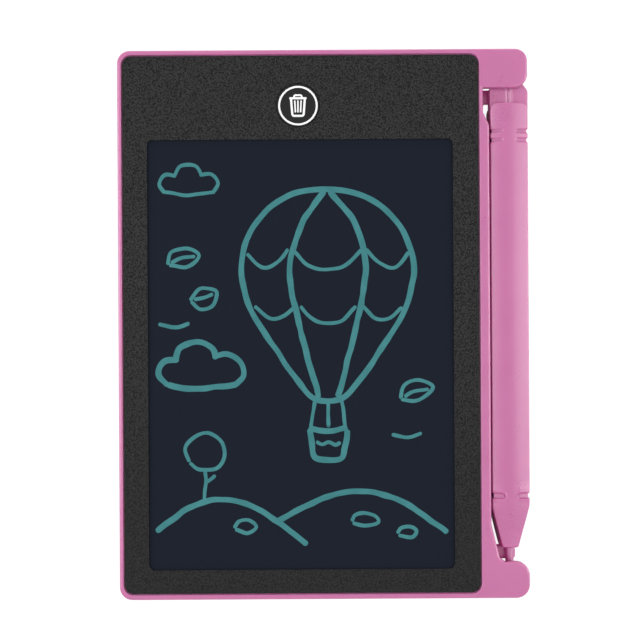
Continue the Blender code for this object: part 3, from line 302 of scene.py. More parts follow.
def softenedCopy(name, node, look, body, soften, moves=()):
    # a node's own shape with its flat faces made whole and its edges rounded by the radius soften
    # moves: ((x from, x to, y from, y to), (shift in x, shift in y)) for the points in that place
    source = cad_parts[node]
    mesh = source.data.copy()
    mesh.name = name
    mesh.transform(source.matrix_world)

    def moveAndMerge(shape):
        for (xFrom, xTo, yFrom, yTo), (shiftX, shiftY) in moves:
            for vert in shape.verts:
                if xFrom < vert.co.x < xTo and yFrom < vert.co.y < yTo:
                    vert.co.x += shiftX
                    vert.co.y += shiftY
        bmesh.ops.dissolve_limit(shape, angle_limit=math.radians(0.5), verts=shape.verts, edges=shape.edges)

    tidyMesh(mesh, mergeInCad, moveAndMerge)
    placePiece(name, mesh, look, body, (node,), soften=soften)


def boxOf(node):
    low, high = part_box(node)
    return np.array(low), np.array(high)


print("surface tools ready")


# finishes

pinkLook = {
    "light": (0.536, 0.114, 0.326),
    "deep": (0.514, 0.102, 0.310),
    "flow": 9.0 * mm,       # broad, barely seen unevenness of the moulding
    "speck": (0.400, 0.080, 0.230),
    "speckSize": 0.6 * mm,
    "speckLevels": (0.74, 0.80),
    "speckShare": 0.12,
    "roughness": 0.34,
    "uneven": 0.16,         # how much the grain changes it
    "rub": 0.06,            # how much smoother the handled places are
    "grain": 0.22 * mm,     # width of one bump of the satin texture
    "grainDepth": 0.006 * mm,
    "rimRound": 0.42 * mm,  # how far from an edge of the housing its shading turns
}

restPaintedGlow = {
    # painted glow: the thin rests behind the stylus shine faintly, standing in for the light that reaches
    # them deep in the slot; each edge fades over such a span
    "inner": (33.6 * mm, 33.8 * mm),
    "top": (2.6 * mm, 2.8 * mm),
    "near": (46.4 * mm, 46.8 * mm),
    "far": (50.3 * mm, 50.5 * mm),
    "light": (0.085, 0.001, 0.034),
}


def paintPink(s, turned=None):
    flow = s.noise(pinkLook["flow"], 3)
    grain = s.noise(pinkLook["grain"], 2, 0.6)
    specks = s.step(s.noise(pinkLook["speckSize"], 1), *pinkLook["speckLevels"])
    colour = s.blend(s.step(flow, 0.3, 0.7), pinkLook["light"], pinkLook["deep"])
    colour = s.blend(specks * pinkLook["speckShare"], colour, pinkLook["speck"])
    roughness = pinkLook["roughness"] + (grain - 0.5) * pinkLook["uneven"]
    roughness = roughness - s.step(flow, 0.45, 0.7) * pinkLook["rub"]
    return colour, roughness, s.bump(grain, pinkLook["grainDepth"], turned)


def paintHousingRestGlow(s):
    # the same plastic with softer looking edges, and a painted glow on the rests in place of the light that
    # reaches them
    x, y, z = s.split(s.place())
    out = s.maths("ABSOLUTE", y)
    lit = s.step(x, *restPaintedGlow["inner"]) * s.step(z, *restPaintedGlow["top"], 1.0, 0.0)
    lit = lit * s.step(out, *restPaintedGlow["near"]) * s.step(out, *restPaintedGlow["far"], 1.0, 0.0)
    turned = s.node("Bevel", {"samples": 6}, {"Radius": pinkLook["rimRound"]})
    return *paintPink(s, turned), s.blend(lit, (0.0, 0.0, 0.0), restPaintedGlow["light"])


panelLook = {
    "dark": (0.0066, 0.0066, 0.0067),
    "light": (0.0385, 0.0385, 0.0389),
    "shadedLowDark": (0.0090, 0.0090, 0.0091),  # painted shade: towards the lower edge the texture is flatter and a little darker, as the light falls from the top
    "shadedLowLight": (0.0262, 0.0262, 0.0266),
    "shadeFrom": 12 * mm,
    "shadeTo": -50 * mm,
    "pebble": 0.28 * mm,
    "fine": 0.16 * mm,
    "shares": (0.7, 0.5),   # of the pebbles and of the fine grain in the height
    "litCrest": (0.52, 0.82),  # the colour turns light between these heights, partly the pebbles' own tone and partly painted highlight on their tops
    "depth": 0.035 * mm,
    "roughness": 0.52,
    "uneven": 0.20,
}

buttonLook = {
    "dark": (0.0145, 0.0145, 0.0147),
    "light": (0.0300, 0.0300, 0.0305),
    "pebble": panelLook["pebble"] * 0.7,
    "fine": 0.14 * mm,
    "shares": (0.4, 0.6),
    # the button's crests too are painted lighter, partly their own tone and partly painted highlight
    "litCrest": (0.45, 0.90),
    "depth": 0.015 * mm,
    "roughness": 0.48,
    "uneven": 0.16,
}


def pebbled(s, look):
    # rounded cells under a fine grain: where their crests are, painted lighter partly as their own tone and
    # partly as highlight, and what they do to the light
    pebble = s.cells(look["pebble"], "SMOOTH_F1")
    fine = s.noise(look["fine"], 2, 0.6)
    height = (1 - pebble) * look["shares"][0] + fine * look["shares"][1]
    roughness = look["roughness"] + (fine - 0.5) * look["uneven"]
    return s.step(height, *look["litCrest"]), roughness, s.bump(height, look["depth"])


def paintPanel(s):
    litCrest, *relief = pebbled(s, panelLook)
    # painted shade: darker and flatter towards the bottom, as the light falls from the top
    y = s.split(s.place())[1]
    low = (panelLook["shadeFrom"] - y) / (panelLook["shadeFrom"] - panelLook["shadeTo"])
    low = s.step(low, 0.0, 1.0)
    dark = s.blend(low, panelLook["dark"], panelLook["shadedLowDark"])
    light = s.blend(low, panelLook["light"], panelLook["shadedLowLight"])
    return s.blend(litCrest, dark, light), *relief


def paintButton(s):
    litCrest, *relief = pebbled(s, buttonLook)
    return s.blend(litCrest, buttonLook["dark"], buttonLook["light"]), *relief


def paintInk(s):
    # white print, a little thin in places
    thin = s.step(s.noise(0.35 * mm, 3), 0.55, 0.85)
    return (s.blend(thin, (0.98, 0.98, 0.98), (0.90, 0.90, 0.91)),
            0.5 + thin * 0.15, s.bump(s.noise(0.1 * mm, 2), 0.004 * mm))


filmLook = {
    "screen": (0.0109, 0.0140, 0.0239),
    "cloud": (0.0117, 0.0150, 0.0252),
    "roughness": 0.24,
}


def paintFilm(s):
    drift = s.noise(18 * mm, 3)
    haze = s.noise(0.5 * mm, 2)
    return (s.blend(drift, filmLook["screen"], filmLook["cloud"]),
            filmLook["roughness"] + (haze - 0.5) * 0.08, s.bump(s.noise(2.5 * mm, 2), 0.004 * mm))


lineLook = {
    "deep": (0.050, 0.200, 0.215),
    "light": (0.066, 0.245, 0.258),
}


def paintLine(s):
    # where the pen pressed the film: teal, a little uneven along each stroke
    drift = s.noise(3.5 * mm, 2)
    grain = s.noise(0.25 * mm, 2)
    tint = s.step(drift * 0.7 + grain * 0.3, 0.3, 0.7)
    return s.blend(tint, lineLook["deep"], lineLook["light"]), 0.3 + grain * 0.1, s.bump(grain, 0.003 * mm)


def paintPlate(s):
    grain = s.noise(0.35 * mm, 2)
    drift = s.noise(12 * mm, 2)
    return (s.blend(drift, (0.70, 0.70, 0.67), (0.78, 0.78, 0.76)),
            0.45 + grain * 0.15, s.bump(grain, 0.008 * mm))


def paintFoam(s):
    cell = s.cells(0.45 * mm)
    pore = s.step(cell, 0.15, 0.55)
    return s.blend(pore, (0.012, 0.012, 0.013), (0.075, 0.075, 0.078)), 0.9, s.bump(pore, 0.12 * mm)


def paintBoard(s):
    # solder mask over copper tracks: straight bands on two crossing grids, cut into pieces by cells
    x, y = s.split(s.place())[:2]
    pick = s.split(s.cells(3.2 * mm, output=1))[0]
    turned = s.step(pick, 0.49, 0.51)
    alongX, alongY = (s.maths("PINGPONG", across / (0.9 * mm), 0.5) for across in (y, x))
    band = s.step(alongX * turned + alongY * (1 - turned), 0.30, 0.34)
    glass = s.noise(0.25 * mm, 2)
    return (s.blend(band, (0.012, 0.110, 0.040), (0.030, 0.215, 0.085)),
            0.36 + glass * 0.12, s.bump(band + glass * 0.3, 0.02 * mm))


def paintRibbon(s):
    # amber film with fine copper tracks along it
    track = s.step(s.maths("PINGPONG", s.split(s.place())[0] / (0.5 * mm), 0.5), 0.24, 0.30)
    film = s.noise(0.5 * mm, 2)
    return (s.blend(track, (0.44, 0.19, 0.035), (0.62, 0.33, 0.10)),
            0.30 + film * 0.12, s.bump(track + film * 0.2, 0.008 * mm))


def plain(size, detail, dark, light, roughness, uneven, depth, stretch=(1.0, 1.0, 1.0)):
    # a finish that one grain tints, roughens and raises
    def build(s):
        grain = s.noise(size, detail, stretch=stretch)
        return s.blend(grain, dark, light), roughness + grain * uneven, s.bump(grain, depth)
    return build


def metal(stretch, size, wearSize, wearFrom, clean, worn, roughness, uneven, wornRough):
    # rolled metal: fine scratches one way, and blotches where it is worn
    def build(s):
        scratch = s.noise(size, 3, stretch=stretch)
        wear = s.step(s.noise(wearSize, 3), wearFrom, 0.75)
        return (s.blend(wear, clean, worn),
                roughness + scratch * uneven + wear * wornRough, s.bump(scratch, 0.003 * mm))
    return build


pinkGloss = {"Specular IOR Level": 1.0, "Coat Weight": 0.6, "Coat Roughness": 0.28,
             "Subsurface Weight": 0.45, "Subsurface Scale": 1.6 * mm, "Subsurface Radius": (1.0, 0.30, 0.55)}

looks = {
    # finish: what varies over its surface, and its fixed numbers
    "pinkPlastic": (paintPink, pinkGloss),
    # the housing's emission is a painted glow on the rests behind the stylus
    "housingPlasticRestGlow": (paintHousingRestGlow, {**pinkGloss, "Emission Strength": 1.0}),
    "blackPanel": (paintPanel, {"Specular IOR Level": 0.12}),
    "buttonPlastic": (paintButton, {"Specular IOR Level": 0.12}),
    "whiteInk": (paintInk, {"Specular IOR Level": 0.2}),
    "writingFilm": (paintFilm, {"Specular IOR Level": 0.04}),
    "drawnLine": (paintLine, {"Specular IOR Level": 0.04}),
    "blackSheet": (plain(0.3 * mm, 2, (0.007, 0.007, 0.008), (0.016, 0.016, 0.017), 0.7, 0.2, 0.01 * mm),
                   {"Specular IOR Level": 0.3}),
    "adhesiveTape": (plain(0.4 * mm, 3, (0.60, 0.56, 0.46), (0.76, 0.73, 0.64), 0.5, 0.2, 0.01 * mm,
                           (1.0, 4.0, 1.0)), {}),
    "whitePlate": (paintPlate, {}),
    "foam": (paintFoam, {"Specular IOR Level": 0.2}),
    "blackComponent": (plain(0.12 * mm, 2, (0.012, 0.012, 0.013), (0.028, 0.028, 0.030), 0.45, 0.15,
                             0.008 * mm), {}),
    "steel": (metal((1.0, 14.0, 14.0), 0.9 * mm, 1.1 * mm, 0.55, (0.66, 0.66, 0.64), (0.52, 0.51, 0.49),
                    0.22, 0.16, 0.08), {"Metallic": 1.0}),
    "switchPlunger": (plain(0.15 * mm, 2, (0.40, 0.075, 0.045), (0.50, 0.12, 0.075), 0.38, 0.1,
                            0.006 * mm), {}),
    "boardLaminate": (paintBoard, {}),
    "ferrite": (plain(0.2 * mm, 3, (0.075, 0.075, 0.085), (0.135, 0.135, 0.145), 0.55, 0.15,
                      0.012 * mm), {}),
    "capacitor": (plain(0.14 * mm, 2, (0.36, 0.25, 0.145), (0.47, 0.34, 0.21), 0.42, 0.12, 0.006 * mm), {}),
    "ribbon": (paintRibbon, {"Coat Weight": 0.3, "Coat Roughness": 0.15}),
    "springMetal": (metal((1.0, 10.0, 1.0), 0.7 * mm, 1.6 * mm, 0.5, (0.74, 0.70, 0.60), (0.60, 0.53, 0.40),
                          0.24, 0.15, 0.0), {"Metallic": 1.0}),
}
finishes = {name: finish(name, build, fixed) for name, (build, fixed) in looks.items()}

cadFinish = {
    # finish: the nodes that have it
    "housingPlasticRestGlow": "rear_housing",
    "pinkPlastic": "battery_cover stylus_barrel stylus_nib",
    "blackPanel": "front_panel erase_button",
    "writingFilm": "lcd_film",
    "blackSheet": "backing_sheet",
    "adhesiveTape": "film_tape",
    "whitePlate": "support_plate",
    "foam": "foam_strip_left foam_strip_right",
    "blackComponent": "switch_body driver_chip cell_gasket",
    "steel": "switch_cover board_screw_1 board_screw_2 cell_can cell_cap battery_cover_screw",
    "switchPlunger": "switch_plunger",
    "boardLaminate": "circuit_board",
    "ferrite": "inductor",
    "capacitor": "capacitor_1 capacitor_2 capacitor_3",
    "ribbon": "film_ribbon",
    "springMetal": "positive_contact negative_contact",
}

for look, nodes in cadFinish.items():
    for node in nodes.split():
        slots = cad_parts[node].data.materials
        slots.clear()
        slots.append(finishes[look])
print("finishes made, and given to", len(" ".join(cadFinish.values()).split()), "nodes")


# stylus

barrelShape = {
    "crown": 0.70 * mm,       # how much lower the front face is at its sides
    "draft": 0.22 * mm,       # how much each side leans in towards the front
    "tipDraft": 0.42 * mm,
    "tipShift": -0.20 * mm,   # the tip stands this far off the middle, to the left
    "edge": 0.38 * mm,
    "joinAt": 0.35,           # the edge meets the face this share of its radius out
    "leftOut": 0.16 * mm,     # the left half is this much wider,
    "leftLater": 0.7 * mm,    # starts its taper this much lower
    "leftTipIn": 0.08 * mm,   # and ends it this much narrower
    "headBack": 9.1 * mm,     # from the tongue's end down to the head
    "headCorner": 2.0 * mm,
    "headEdge": 0.42 * mm,
    "headSoft": 0.30 * mm,    # how softly the face runs into those corners
    "taperLength": 9.1 * mm,
    "tipWidth": 4.20 * mm,
    "tipDepth": 4.8 * mm,
    "tipEdge": 0.45 * mm,
    "taperEase": 0.5 * mm,
    "boreRadius": 0.95 * mm,
    "boreDepth": 1.6 * mm,
    "boreChamfer": 0.05 * mm,
    "dents": (40.8 * mm, 38.9 * mm),
    "dentForm": (1.3 * mm, 2.9 * mm, 0.34 * mm, 0.58 * mm),  # width, reach, depth, wall
    "sideGroove": -36.6 * mm,
    "grooveForm": (1.35 * mm, 2.9 * mm, 0.34 * mm, 0.26 * mm),
    "lip": 0.11 * mm,         # height of the rim round each side groove
    "lipOut": 0.13 * mm,      # its crest runs this far outside the groove
    "lipHalf": 0.13 * mm,
    "steps": (24, 12, 8, 6),  # of the front face, an edge, the wall and the rear
    "dense": 0.85 * mm,       # this near a dent or groove the sections stand span apart
    "clear": 0.90 * mm,
    "span": 0.055 * mm,
}

tongueShape = {
    "low": 1.7 * mm,
    "high": 5.0 * mm,
    "inset": 0.06 * mm,
    "overlap": 1.2 * mm,      # how far it runs down into the head
    "shoulder": 49.2 * mm,    # from here the right side bends in
    "shoulderEase": 0.85 * mm,
    "shoulderMost": 2.9 * mm,
    "chamfer": 0.35 * mm,
    "chamferFrom": 49.9 * mm,
    "edge": 0.30 * mm,
    "endRadius": 1.0 * mm,
    "faceHalf": 1.2,          # in mm: the groove and its lips lie this near the middle
    "grooveHalf": 0.30 * mm,  # the groove's depth falls to about a third this far out
    "grooveDepth": 0.30 * mm,
    "lipAt": 0.66 * mm,       # a low lip runs along each side of the groove
    "lipHalf": 0.15 * mm,
    "lipHeight": 0.06 * mm,
}


def barrelSection(width, low, high, shape, edge, draft):
    # for each station, points from the middle of the front round one side to the middle of the rear:
    # crowned face z = high - crown (x / width)^2, round corner, drafted wall, round corner, flat
    face, corner, wall = (np.linspace(0, 1, count + 1)[:-1] for count in shape["steps"][:3])
    under = np.linspace(0, 1, shape["steps"][3] + 1)
    width, low, high, r, draft = (each[:, None] for each in (width, low, high, edge, draft))
    crown = shape["crown"] * width / (barrelWidth / 2)
    lean = np.arctan2(draft, barrelDepth)
    rearX = width - r
    frontX = width - r - draft
    slope = np.arctan(2 * crown * (frontX + shape["joinAt"] * r) / width ** 2)
    joinX = frontX + r * np.sin(slope)
    joinZ = high - crown * (joinX / width) ** 2
    frontZ = joinZ - r * np.cos(slope)
    faceX = joinX * face
    frontTurn = math.pi / 2 - slope + (lean - math.pi / 2 + slope) * corner
    wallFrom = (frontX + r * np.cos(lean), frontZ + r * np.sin(lean))
    wallTo = (rearX + r * np.cos(lean), low + r + r * np.sin(lean))
    rearTurn = lean + (-math.pi / 2 - lean) * corner
    across = np.hstack([faceX, frontX + r * np.cos(frontTurn), wallFrom[0] * (1 - wall) + wallTo[0] * wall,
                        rearX + r * np.cos(rearTurn), (1 - under) * rearX])
    upright = np.hstack([high - crown * (faceX / width) ** 2, frontZ + r * np.sin(frontTurn),
                         wallFrom[1] * (1 - wall) + wallTo[1] * wall,
                         low + r + r * np.sin(rearTurn), low + 0 * under])
    turn = np.hstack([math.pi / 2 - np.arctan(2 * crown * faceX / width ** 2), frontTurn,
                      lean + 0 * wall, rearTurn, 0 * width - math.pi / 2 + 0 * under])
    return across, upright, np.cos(turn), np.sin(turn)


def softStep(value):
    value = np.clip(value, 0, 1)
    return value * value * (3 - 2 * value)


def hollow(fromSide, y, middle, width, reach, depth, wall, lip=0):
    # depth of a round-ended groove in from the side: full inside, easing out over wall, with a low
    # lip round it, lip * exp(-((distance outside - lipOut) / lipHalf)^2)
    half = width / 2
    past = np.maximum(fromSide - (reach - half), 0)
    inside = half - np.hypot(past, y - middle)
    return depth * softStep(inside / wall) - lip * np.exp(
        -((inside + barrelShape["lipOut"]) / barrelShape["lipHalf"]) ** 2)


def stations(shape, head, tip, taper):
    # places along y, dense at the tip, the grooves, the dents and the head
    turn = np.linspace(0, math.pi / 2, 29)
    tipRound = tip + shape["tipEdge"] * (1 - np.cos(turn[::3]))
    headRound = head - shape["headCorner"] * (1 - np.sin(turn))
    dense, clear, span = shape["dense"], shape["clear"], shape["span"]
    groove, (upper, lower) = shape["sideGroove"], shape["dents"]
    parts = [tipRound, np.linspace(tip + shape["tipEdge"], taper - 2 * mm, 12),
             np.arange(taper - 2 * mm, taper + 0.6 * mm, 0.2 * mm),
             np.arange(groove - dense, groove + dense, span),
             np.linspace(groove + clear, lower - clear, 40),
             np.arange(lower - dense, upper + dense, span),
             np.linspace(upper + clear, headRound[0], 8), headRound]
    return np.unique(np.round(np.concatenate(parts), 9))


def barrelSurface(shape, low, high):
    tip, head = low[1], high[1] - shape["headBack"]
    taper = tip + shape["taperLength"]
    y = stations(shape, head, tip, taper)
    halfWidth, halfDepth = (high[0] - low[0]) / 2, (high[2] - low[2]) / 2
    middleX, middleZ = (high[0] + low[0]) / 2, (high[2] + low[2]) / 2
    # the taper: straight to the tip, eased where it meets the body
    down = (taper - y) / shape["taperLength"]
    ease = shape["taperEase"] / shape["taperLength"]
    down = np.clip((np.sqrt(down ** 2 + ease ** 2) + down) / 2, 0, None)
    down = down / ((math.sqrt(1 + ease ** 2) + 1) / 2)
    width = halfWidth - (halfWidth - shape["tipWidth"] / 2) * down
    depth = halfDepth - (halfDepth - shape["tipDepth"] / 2) * down
    # round edges at the tip and at the head
    fromTip = np.clip(1 - (y - tip) / shape["tipEdge"], 0, 1)
    fromHead = np.clip(1 - (head - y) / shape["headEdge"], 0, 1)
    edge = roundIn(fromTip, shape["tipEdge"]) + roundIn(fromHead, shape["headEdge"])
    x, z, outX, outZ = barrelSection(width - edge, middleZ - depth + edge, middleZ + depth - edge,
                                     shape, np.full(y.size, shape["edge"]),
                                     shape["draft"] + (shape["tipDraft"] - shape["draft"]) * down)
    fromSide = (width - edge)[:, None] - x
    along = y[:, None]
    sink = np.zeros_like(x)
    for middle in shape["dents"]:
        sink = sink + hollow(fromSide, along, middle, *shape["dentForm"])
    sink = sink + hollow(fromSide, along, shape["sideGroove"], *shape["grooveForm"],
                         shape["lip"] * np.clip(outZ, 0, 1) ** 2)
    x = x - sink * outX
    z = z - sink * outZ
    # seen from the front the head has round corners, and the half width may not pass their circle
    r = shape["headCorner"]
    past = np.clip((y - (head - r)) / r, 0, 1)
    limit = (halfWidth - roundIn(past, r))[:, None]
    soft = (shape["headSoft"] * softStep(past * 3))[:, None] + 1e-9
    share = np.clip(0.5 + 0.5 * (limit - x) / soft, 0, 1)
    x = limit * (1 - share) + x * share - soft * share * (1 - share)
    # the other half mirrored, the round mouth of the bore at the tip and the closed head
    later = np.clip((taper - shape["leftLater"] - y) / (shape["taperLength"] - shape["leftLater"]), 0, 1)
    leftWidth = halfWidth + shape["leftOut"]
    leftWidth = leftWidth - (leftWidth - shape["tipWidth"] / 2 + shape["leftTipIn"]) * later
    leftX = x[:, -2:0:-1] * (leftWidth / width)[:, None]
    ringX = np.hstack([x, -leftX]) + (shape["tipShift"] * softStep(down))[:, None]
    ringZ = np.hstack([z, z[:, -2:0:-1]])
    rings = np.stack([middleX + ringX, np.repeat(y[:, None], ringX.shape[1], axis=1), ringZ], axis=-1)
    boreX, bore, chamfer = middleX + shape["tipShift"], shape["boreRadius"], shape["boreChamfer"]
    bottom = tip + shape["boreDepth"]
    turn = np.arctan2(rings[0, :, 2] - middleZ, rings[0, :, 0] - boreX)
    mouth = [np.column_stack([boreX + radius * np.cos(turn), np.full(turn.size, place),
                              middleZ + radius * np.sin(turn)])
             for radius, place in ((0.0, bottom), (bore, bottom), (bore, tip + chamfer),
                                   (bore + chamfer, tip))]
    centre = np.array([middleX, head, middleZ])
    close = [centre + (rings[-1] - centre) * share for share in (0.6, 0.0)]
    return np.concatenate([np.stack(mouth), rings, np.stack(close)])


def shrunk(ring, share):
    # a ring of points drawn in towards its middle
    middle = ring.mean(axis=1, keepdims=True)
    return middle + (ring - middle) * share


def tongueSurface(shape, barrel, low, high):
    # a round-cornered bar along y whose sides follow the shoulder on the right and the chamfer on
    # the left, with a shallow groove down the middle of its front face
    end, r = high[1], shape["endRadius"]
    start = end - barrel["headBack"] - shape["overlap"]
    turn = np.linspace(0, math.pi / 2, 17)
    y = np.unique(np.round(np.concatenate([np.linspace(start, end - r, 60),
                                           end - r + r * np.sin(turn)]), 9))
    corner = roundIn(np.clip((y - (end - r)) / r, 0, 1), r)
    ahead = np.maximum(y - shape["shoulder"], 0)
    ease = shape["shoulderEase"]
    bend = np.minimum(np.sqrt(ahead ** 2 + ease ** 2) - ease, shape["shoulderMost"])
    right = high[0] - shape["inset"] - bend - corner
    left = low[0] + shape["inset"] + np.clip(y - shape["chamferFrom"], 0, shape["chamfer"]) + corner
    edge = np.full(y.size, shape["edge"])
    drop = roundIn(np.clip((y - (end - shape["edge"])) / shape["edge"], 0, 1), shape["edge"])
    top, bottom = shape["high"] - drop, shape["low"] + drop
    middle = (high[0] + low[0]) / 2
    groove = middle + np.linspace(-shape["faceHalf"], shape["faceHalf"], 49) * mm
    arc = np.linspace(math.pi / 2, 0, 7)
    left, right, top, bottom, edge = (each[:, None] for each in (left, right, top, bottom, edge))
    acrossGroove = groove[None] + np.zeros_like(left)
    aside = np.abs(acrossGroove - middle)
    depth = (shape["grooveDepth"] * np.exp(-(aside / shape["grooveHalf"]) ** 2)
             - shape["lipHeight"] * np.exp(-((aside - shape["lipAt"]) / shape["lipHalf"]) ** 2))
    level, upright = edge * np.cos(arc), edge * np.sin(arc)
    x = np.hstack([acrossGroove, right - edge + level, right - edge + level[:, ::-1],
                   left + edge - level, left + edge - level[:, ::-1]])
    z = np.hstack([top - depth, top - edge + upright, bottom + edge - upright[:, ::-1],
                   bottom + edge - upright, top - edge + upright[:, ::-1]])
    rings = np.stack([x, np.repeat(y[:, None], x.shape[1], axis=1), z], axis=-1)
    return np.concatenate([shrunk(rings[:1], 0.0), rings, shrunk(rings[-1:], 0.5), shrunk(rings[-1:], 0.0)])


low, high = boxOf("stylus_barrel")
barrelWidth, barrelDepth = high[0] - low[0], high[2] - low[2]
addPiece("stylusBarrel", [barrelSurface(barrelShape, low, high),
                          tongueSurface(tongueShape, barrelShape, low, high)],
         "pinkPlastic", "stylus", ("stylus_barrel",), sharp=40)


def stylusNib():
    # turned from (radius, y), from the end in the bore to the round tip
    low, high = boxOf("stylus_nib")
    radius = (high[0] - low[0]) / 2
    turn = np.linspace(0, math.pi / 2, 12)
    tip = np.stack([radius * np.cos(turn), low[1] + radius * (1 - np.sin(turn))], axis=1)
    shaft = [(0.0, high[1]), (radius, high[1]), (radius, low[1] + radius * 1.3)]
    middle = ((high[0] + low[0]) / 2 + barrelShape["tipShift"], 0, (high[2] + low[2]) / 2)
    addPiece("stylusNib", [turned(np.concatenate([shaft, tip]), middle, 48, "y")], "pinkPlastic", "stylus",
             ("stylus_nib",))


stylusNib()
print("stylus done")


# panel and film

panelShape = {
    "corner": 2.0 * mm,
    "inset": 0.10 * mm,  # a fine gap shows round it
    "edge": 0.10 * mm,
    "footEdge": 0.04 * mm,
    "windowEdge": 0.12 * mm,
    "windowCorner": 1.2 * mm,
    "left": 5.30 * mm,   # from the panel's edge to the window
    "right": 5.55 * mm,
    "bottom": 5.14 * mm,
    "top": 17.90 * mm,
    "buttonHole": 4.65 * mm,
}

filmShape = {"corner": 0.4 * mm, "edge": 0.03 * mm}


def rectangle(left, right, bottom, top, radius, steps=20):
    corners = [(left, bottom), (right, bottom), (right, top), (left, top)]
    return roundedOutline([(x, y, radius) for x, y in corners], steps)


def frontPanel():
    low, high = boxOf("front_panel")
    buttonLow, buttonHigh = boxOf("erase_button")
    inset, foot = panelShape["inset"], panelShape["footEdge"]
    outer = rectangle(low[0] + inset, high[0] - inset, low[1] + inset, high[1] - inset,
                      panelShape["corner"])
    window = rectangle(low[0] + panelShape["left"], high[0] - panelShape["right"],
                       low[1] + panelShape["bottom"], high[1] - panelShape["top"],
                       panelShape["windowCorner"])
    turn = np.linspace(0, 2 * math.pi, 128, endpoint=False)
    centre = (buttonLow[:2] + buttonHigh[:2]) / 2
    hole = centre + panelShape["buttonHole"] * np.column_stack([np.cos(turn), np.sin(turn)])
    outside = wallProfile(low[2], high[2], foot, panelShape["edge"])
    inside = wallProfile(low[2], high[2], foot, panelShape["windowEdge"])
    walls = [wallAlong(outer, outside), wallAlong(window[::-1], inside), wallAlong(hole[::-1], inside)]
    addPiece("frontPanel", walls, "blackPanel", "tablet", ("front_panel",),
             fill=(low[2], high[2]))


def writingFilm():
    low, high = boxOf("lcd_film")
    outline = rectangle(low[0], high[0], low[1], high[1], filmShape["corner"], 6)
    wall = wallAlong(outline, wallProfile(low[2], high[2], filmShape["edge"], filmShape["edge"], 2))
    addPiece("writingFilm", [wall], "writingFilm", "tablet", ("lcd_film",),
             fill=(low[2], high[2]))


frontPanel()
writingFilm()
print("panel and film done")


# erase button and its printed sign

buttonShape = {
    "cap": 4.55 * mm,
    "capEdge": 0.16 * mm,
    "flangeTop": 6.37 * mm,
    "flange": 0.45 * mm,       # its thickness
    "flangeEdge": 0.05 * mm,
    "stem": 1.9 * mm,
    "stemChamfer": 0.1 * mm,
    "print": 0.010 * mm,       # thickness of the white ink
    "printSunk": 0.002 * mm,   # it reaches this far into the cap
    "printStep": 0.0006 * mm,  # and each stroke is this much higher than the last
    "ringOuter": 4.18 * mm,
    "ringInner": 3.78 * mm,
    "printOff": (0.06 * mm, -0.08 * mm),  # how far off the cap's middle it stands
    "printGap": 0.05 * mm,
    "printSwell": 0.97,
}


def buttonProfile(low, high):
    # (radius, z) from the middle of the cap down its rounded edge, out along the flange, to the stem
    cap, edge, flat = buttonShape["cap"], buttonShape["capEdge"], buttonShape["flangeTop"]
    outer, under = (high[0] - low[0]) / 2, flat - buttonShape["flange"]
    soft, stem, chamfer = buttonShape["flangeEdge"], buttonShape["stem"], buttonShape["stemChamfer"]
    turn = np.linspace(0, math.pi / 2, 9)
    capEdge = np.column_stack([cap - edge + edge * np.sin(turn), high[2] - edge + edge * np.cos(turn)])
    along, up = soft * np.sin(turn[::4]), soft * np.cos(turn[::4])
    rimTop = np.column_stack([outer - soft + along, flat - soft + up])
    rimUnder = np.column_stack([outer - soft + up, under + soft - along])
    return np.concatenate([[(0.0, high[2])], capEdge, [(cap, flat)], rimTop, rimUnder,
                           [(stem, under), (stem, low[2] + chamfer), (stem - chamfer, low[2]),
                            (0.0, low[2])]])


def runOf(path):
    # how far along the path each of its points is
    return np.concatenate([[0], np.cumsum(np.linalg.norm(np.diff(path, axis=0), axis=1))])


def placesAlong(path, at):
    # the places that far along the path
    run = runOf(path)
    return np.column_stack([np.interp(at, run, path[:, axis]) for axis in (0, 1)])


def brushStroke(path, widths, level, thick, closed=False, swell=0.85):
    # a flat bar along the path: its section is a low trapezoid whose half width is swell of the
    # full one at the top; an open stroke narrows to round ends, half width = sqrt(r^2 - (r - s)^2)
    path = np.asarray(path, float)
    widths = np.broadcast_to(np.asarray(widths, float), (len(path),)).copy()
    if closed:
        ahead = np.roll(path, -1, axis=0) - np.roll(path, 1, axis=0)
    else:
        ahead = np.gradient(path, axis=0)
        run = runOf(path)
        r = widths / 2
        for way in (run, run[-1] - run):
            inside = np.clip(way / r, 0, 1)
            widths = np.minimum(widths, 2 * r * np.sqrt(np.clip(1 - (1 - inside) ** 2, 0, 1)))
    left = leftOf(unit(ahead))
    share = np.array([-1.0, -swell, swell, 1.0])
    height = np.array([level, level + thick, level + thick, level])
    spots = path[:, None] + left[:, None] * share[None, :, None] * widths[:, None, None] / 2
    strokes = np.concatenate([spots, np.broadcast_to(height[None, :, None], (len(path), 4, 1))], axis=-1)
    return np.concatenate([strokes, strokes[:1]]) if closed else strokes


def spreadPoints(corners, gap):
    # points about gap apart along straight sides, closer together at both ends
    length = runOf(corners)[-1]
    count = max(int(round(length / gap)), 6)
    return placesAlong(corners, length * (0.5 - 0.5 * np.cos(np.linspace(0, math.pi, count))))


binSign = [
    # in mm from the button's middle, with the line's width: a flared can, its handle, lid and bars
    ([(-1.46, 1.46, 0.05), (-1.18, -2.16, 0.42), (1.18, -2.16, 0.42), (1.46, 1.46, 0.05)], 0.46),
    ([(-0.90, 1.60, 0), (-0.72, 2.20, 0.26), (0.72, 2.20, 0.26), (0.90, 1.60, 0)], 0.38),
    ([(-1.84, 1.56, 0), (1.84, 1.56, 0)], 0.46),
    ([(-0.68, 1.12, 0), (-0.54, -1.46, 0)], 0.32),
    ([(0, 1.12, 0), (0, -1.46, 0)], 0.32),
    ([(0.68, 1.12, 0), (0.54, -1.46, 0)], 0.32),
]


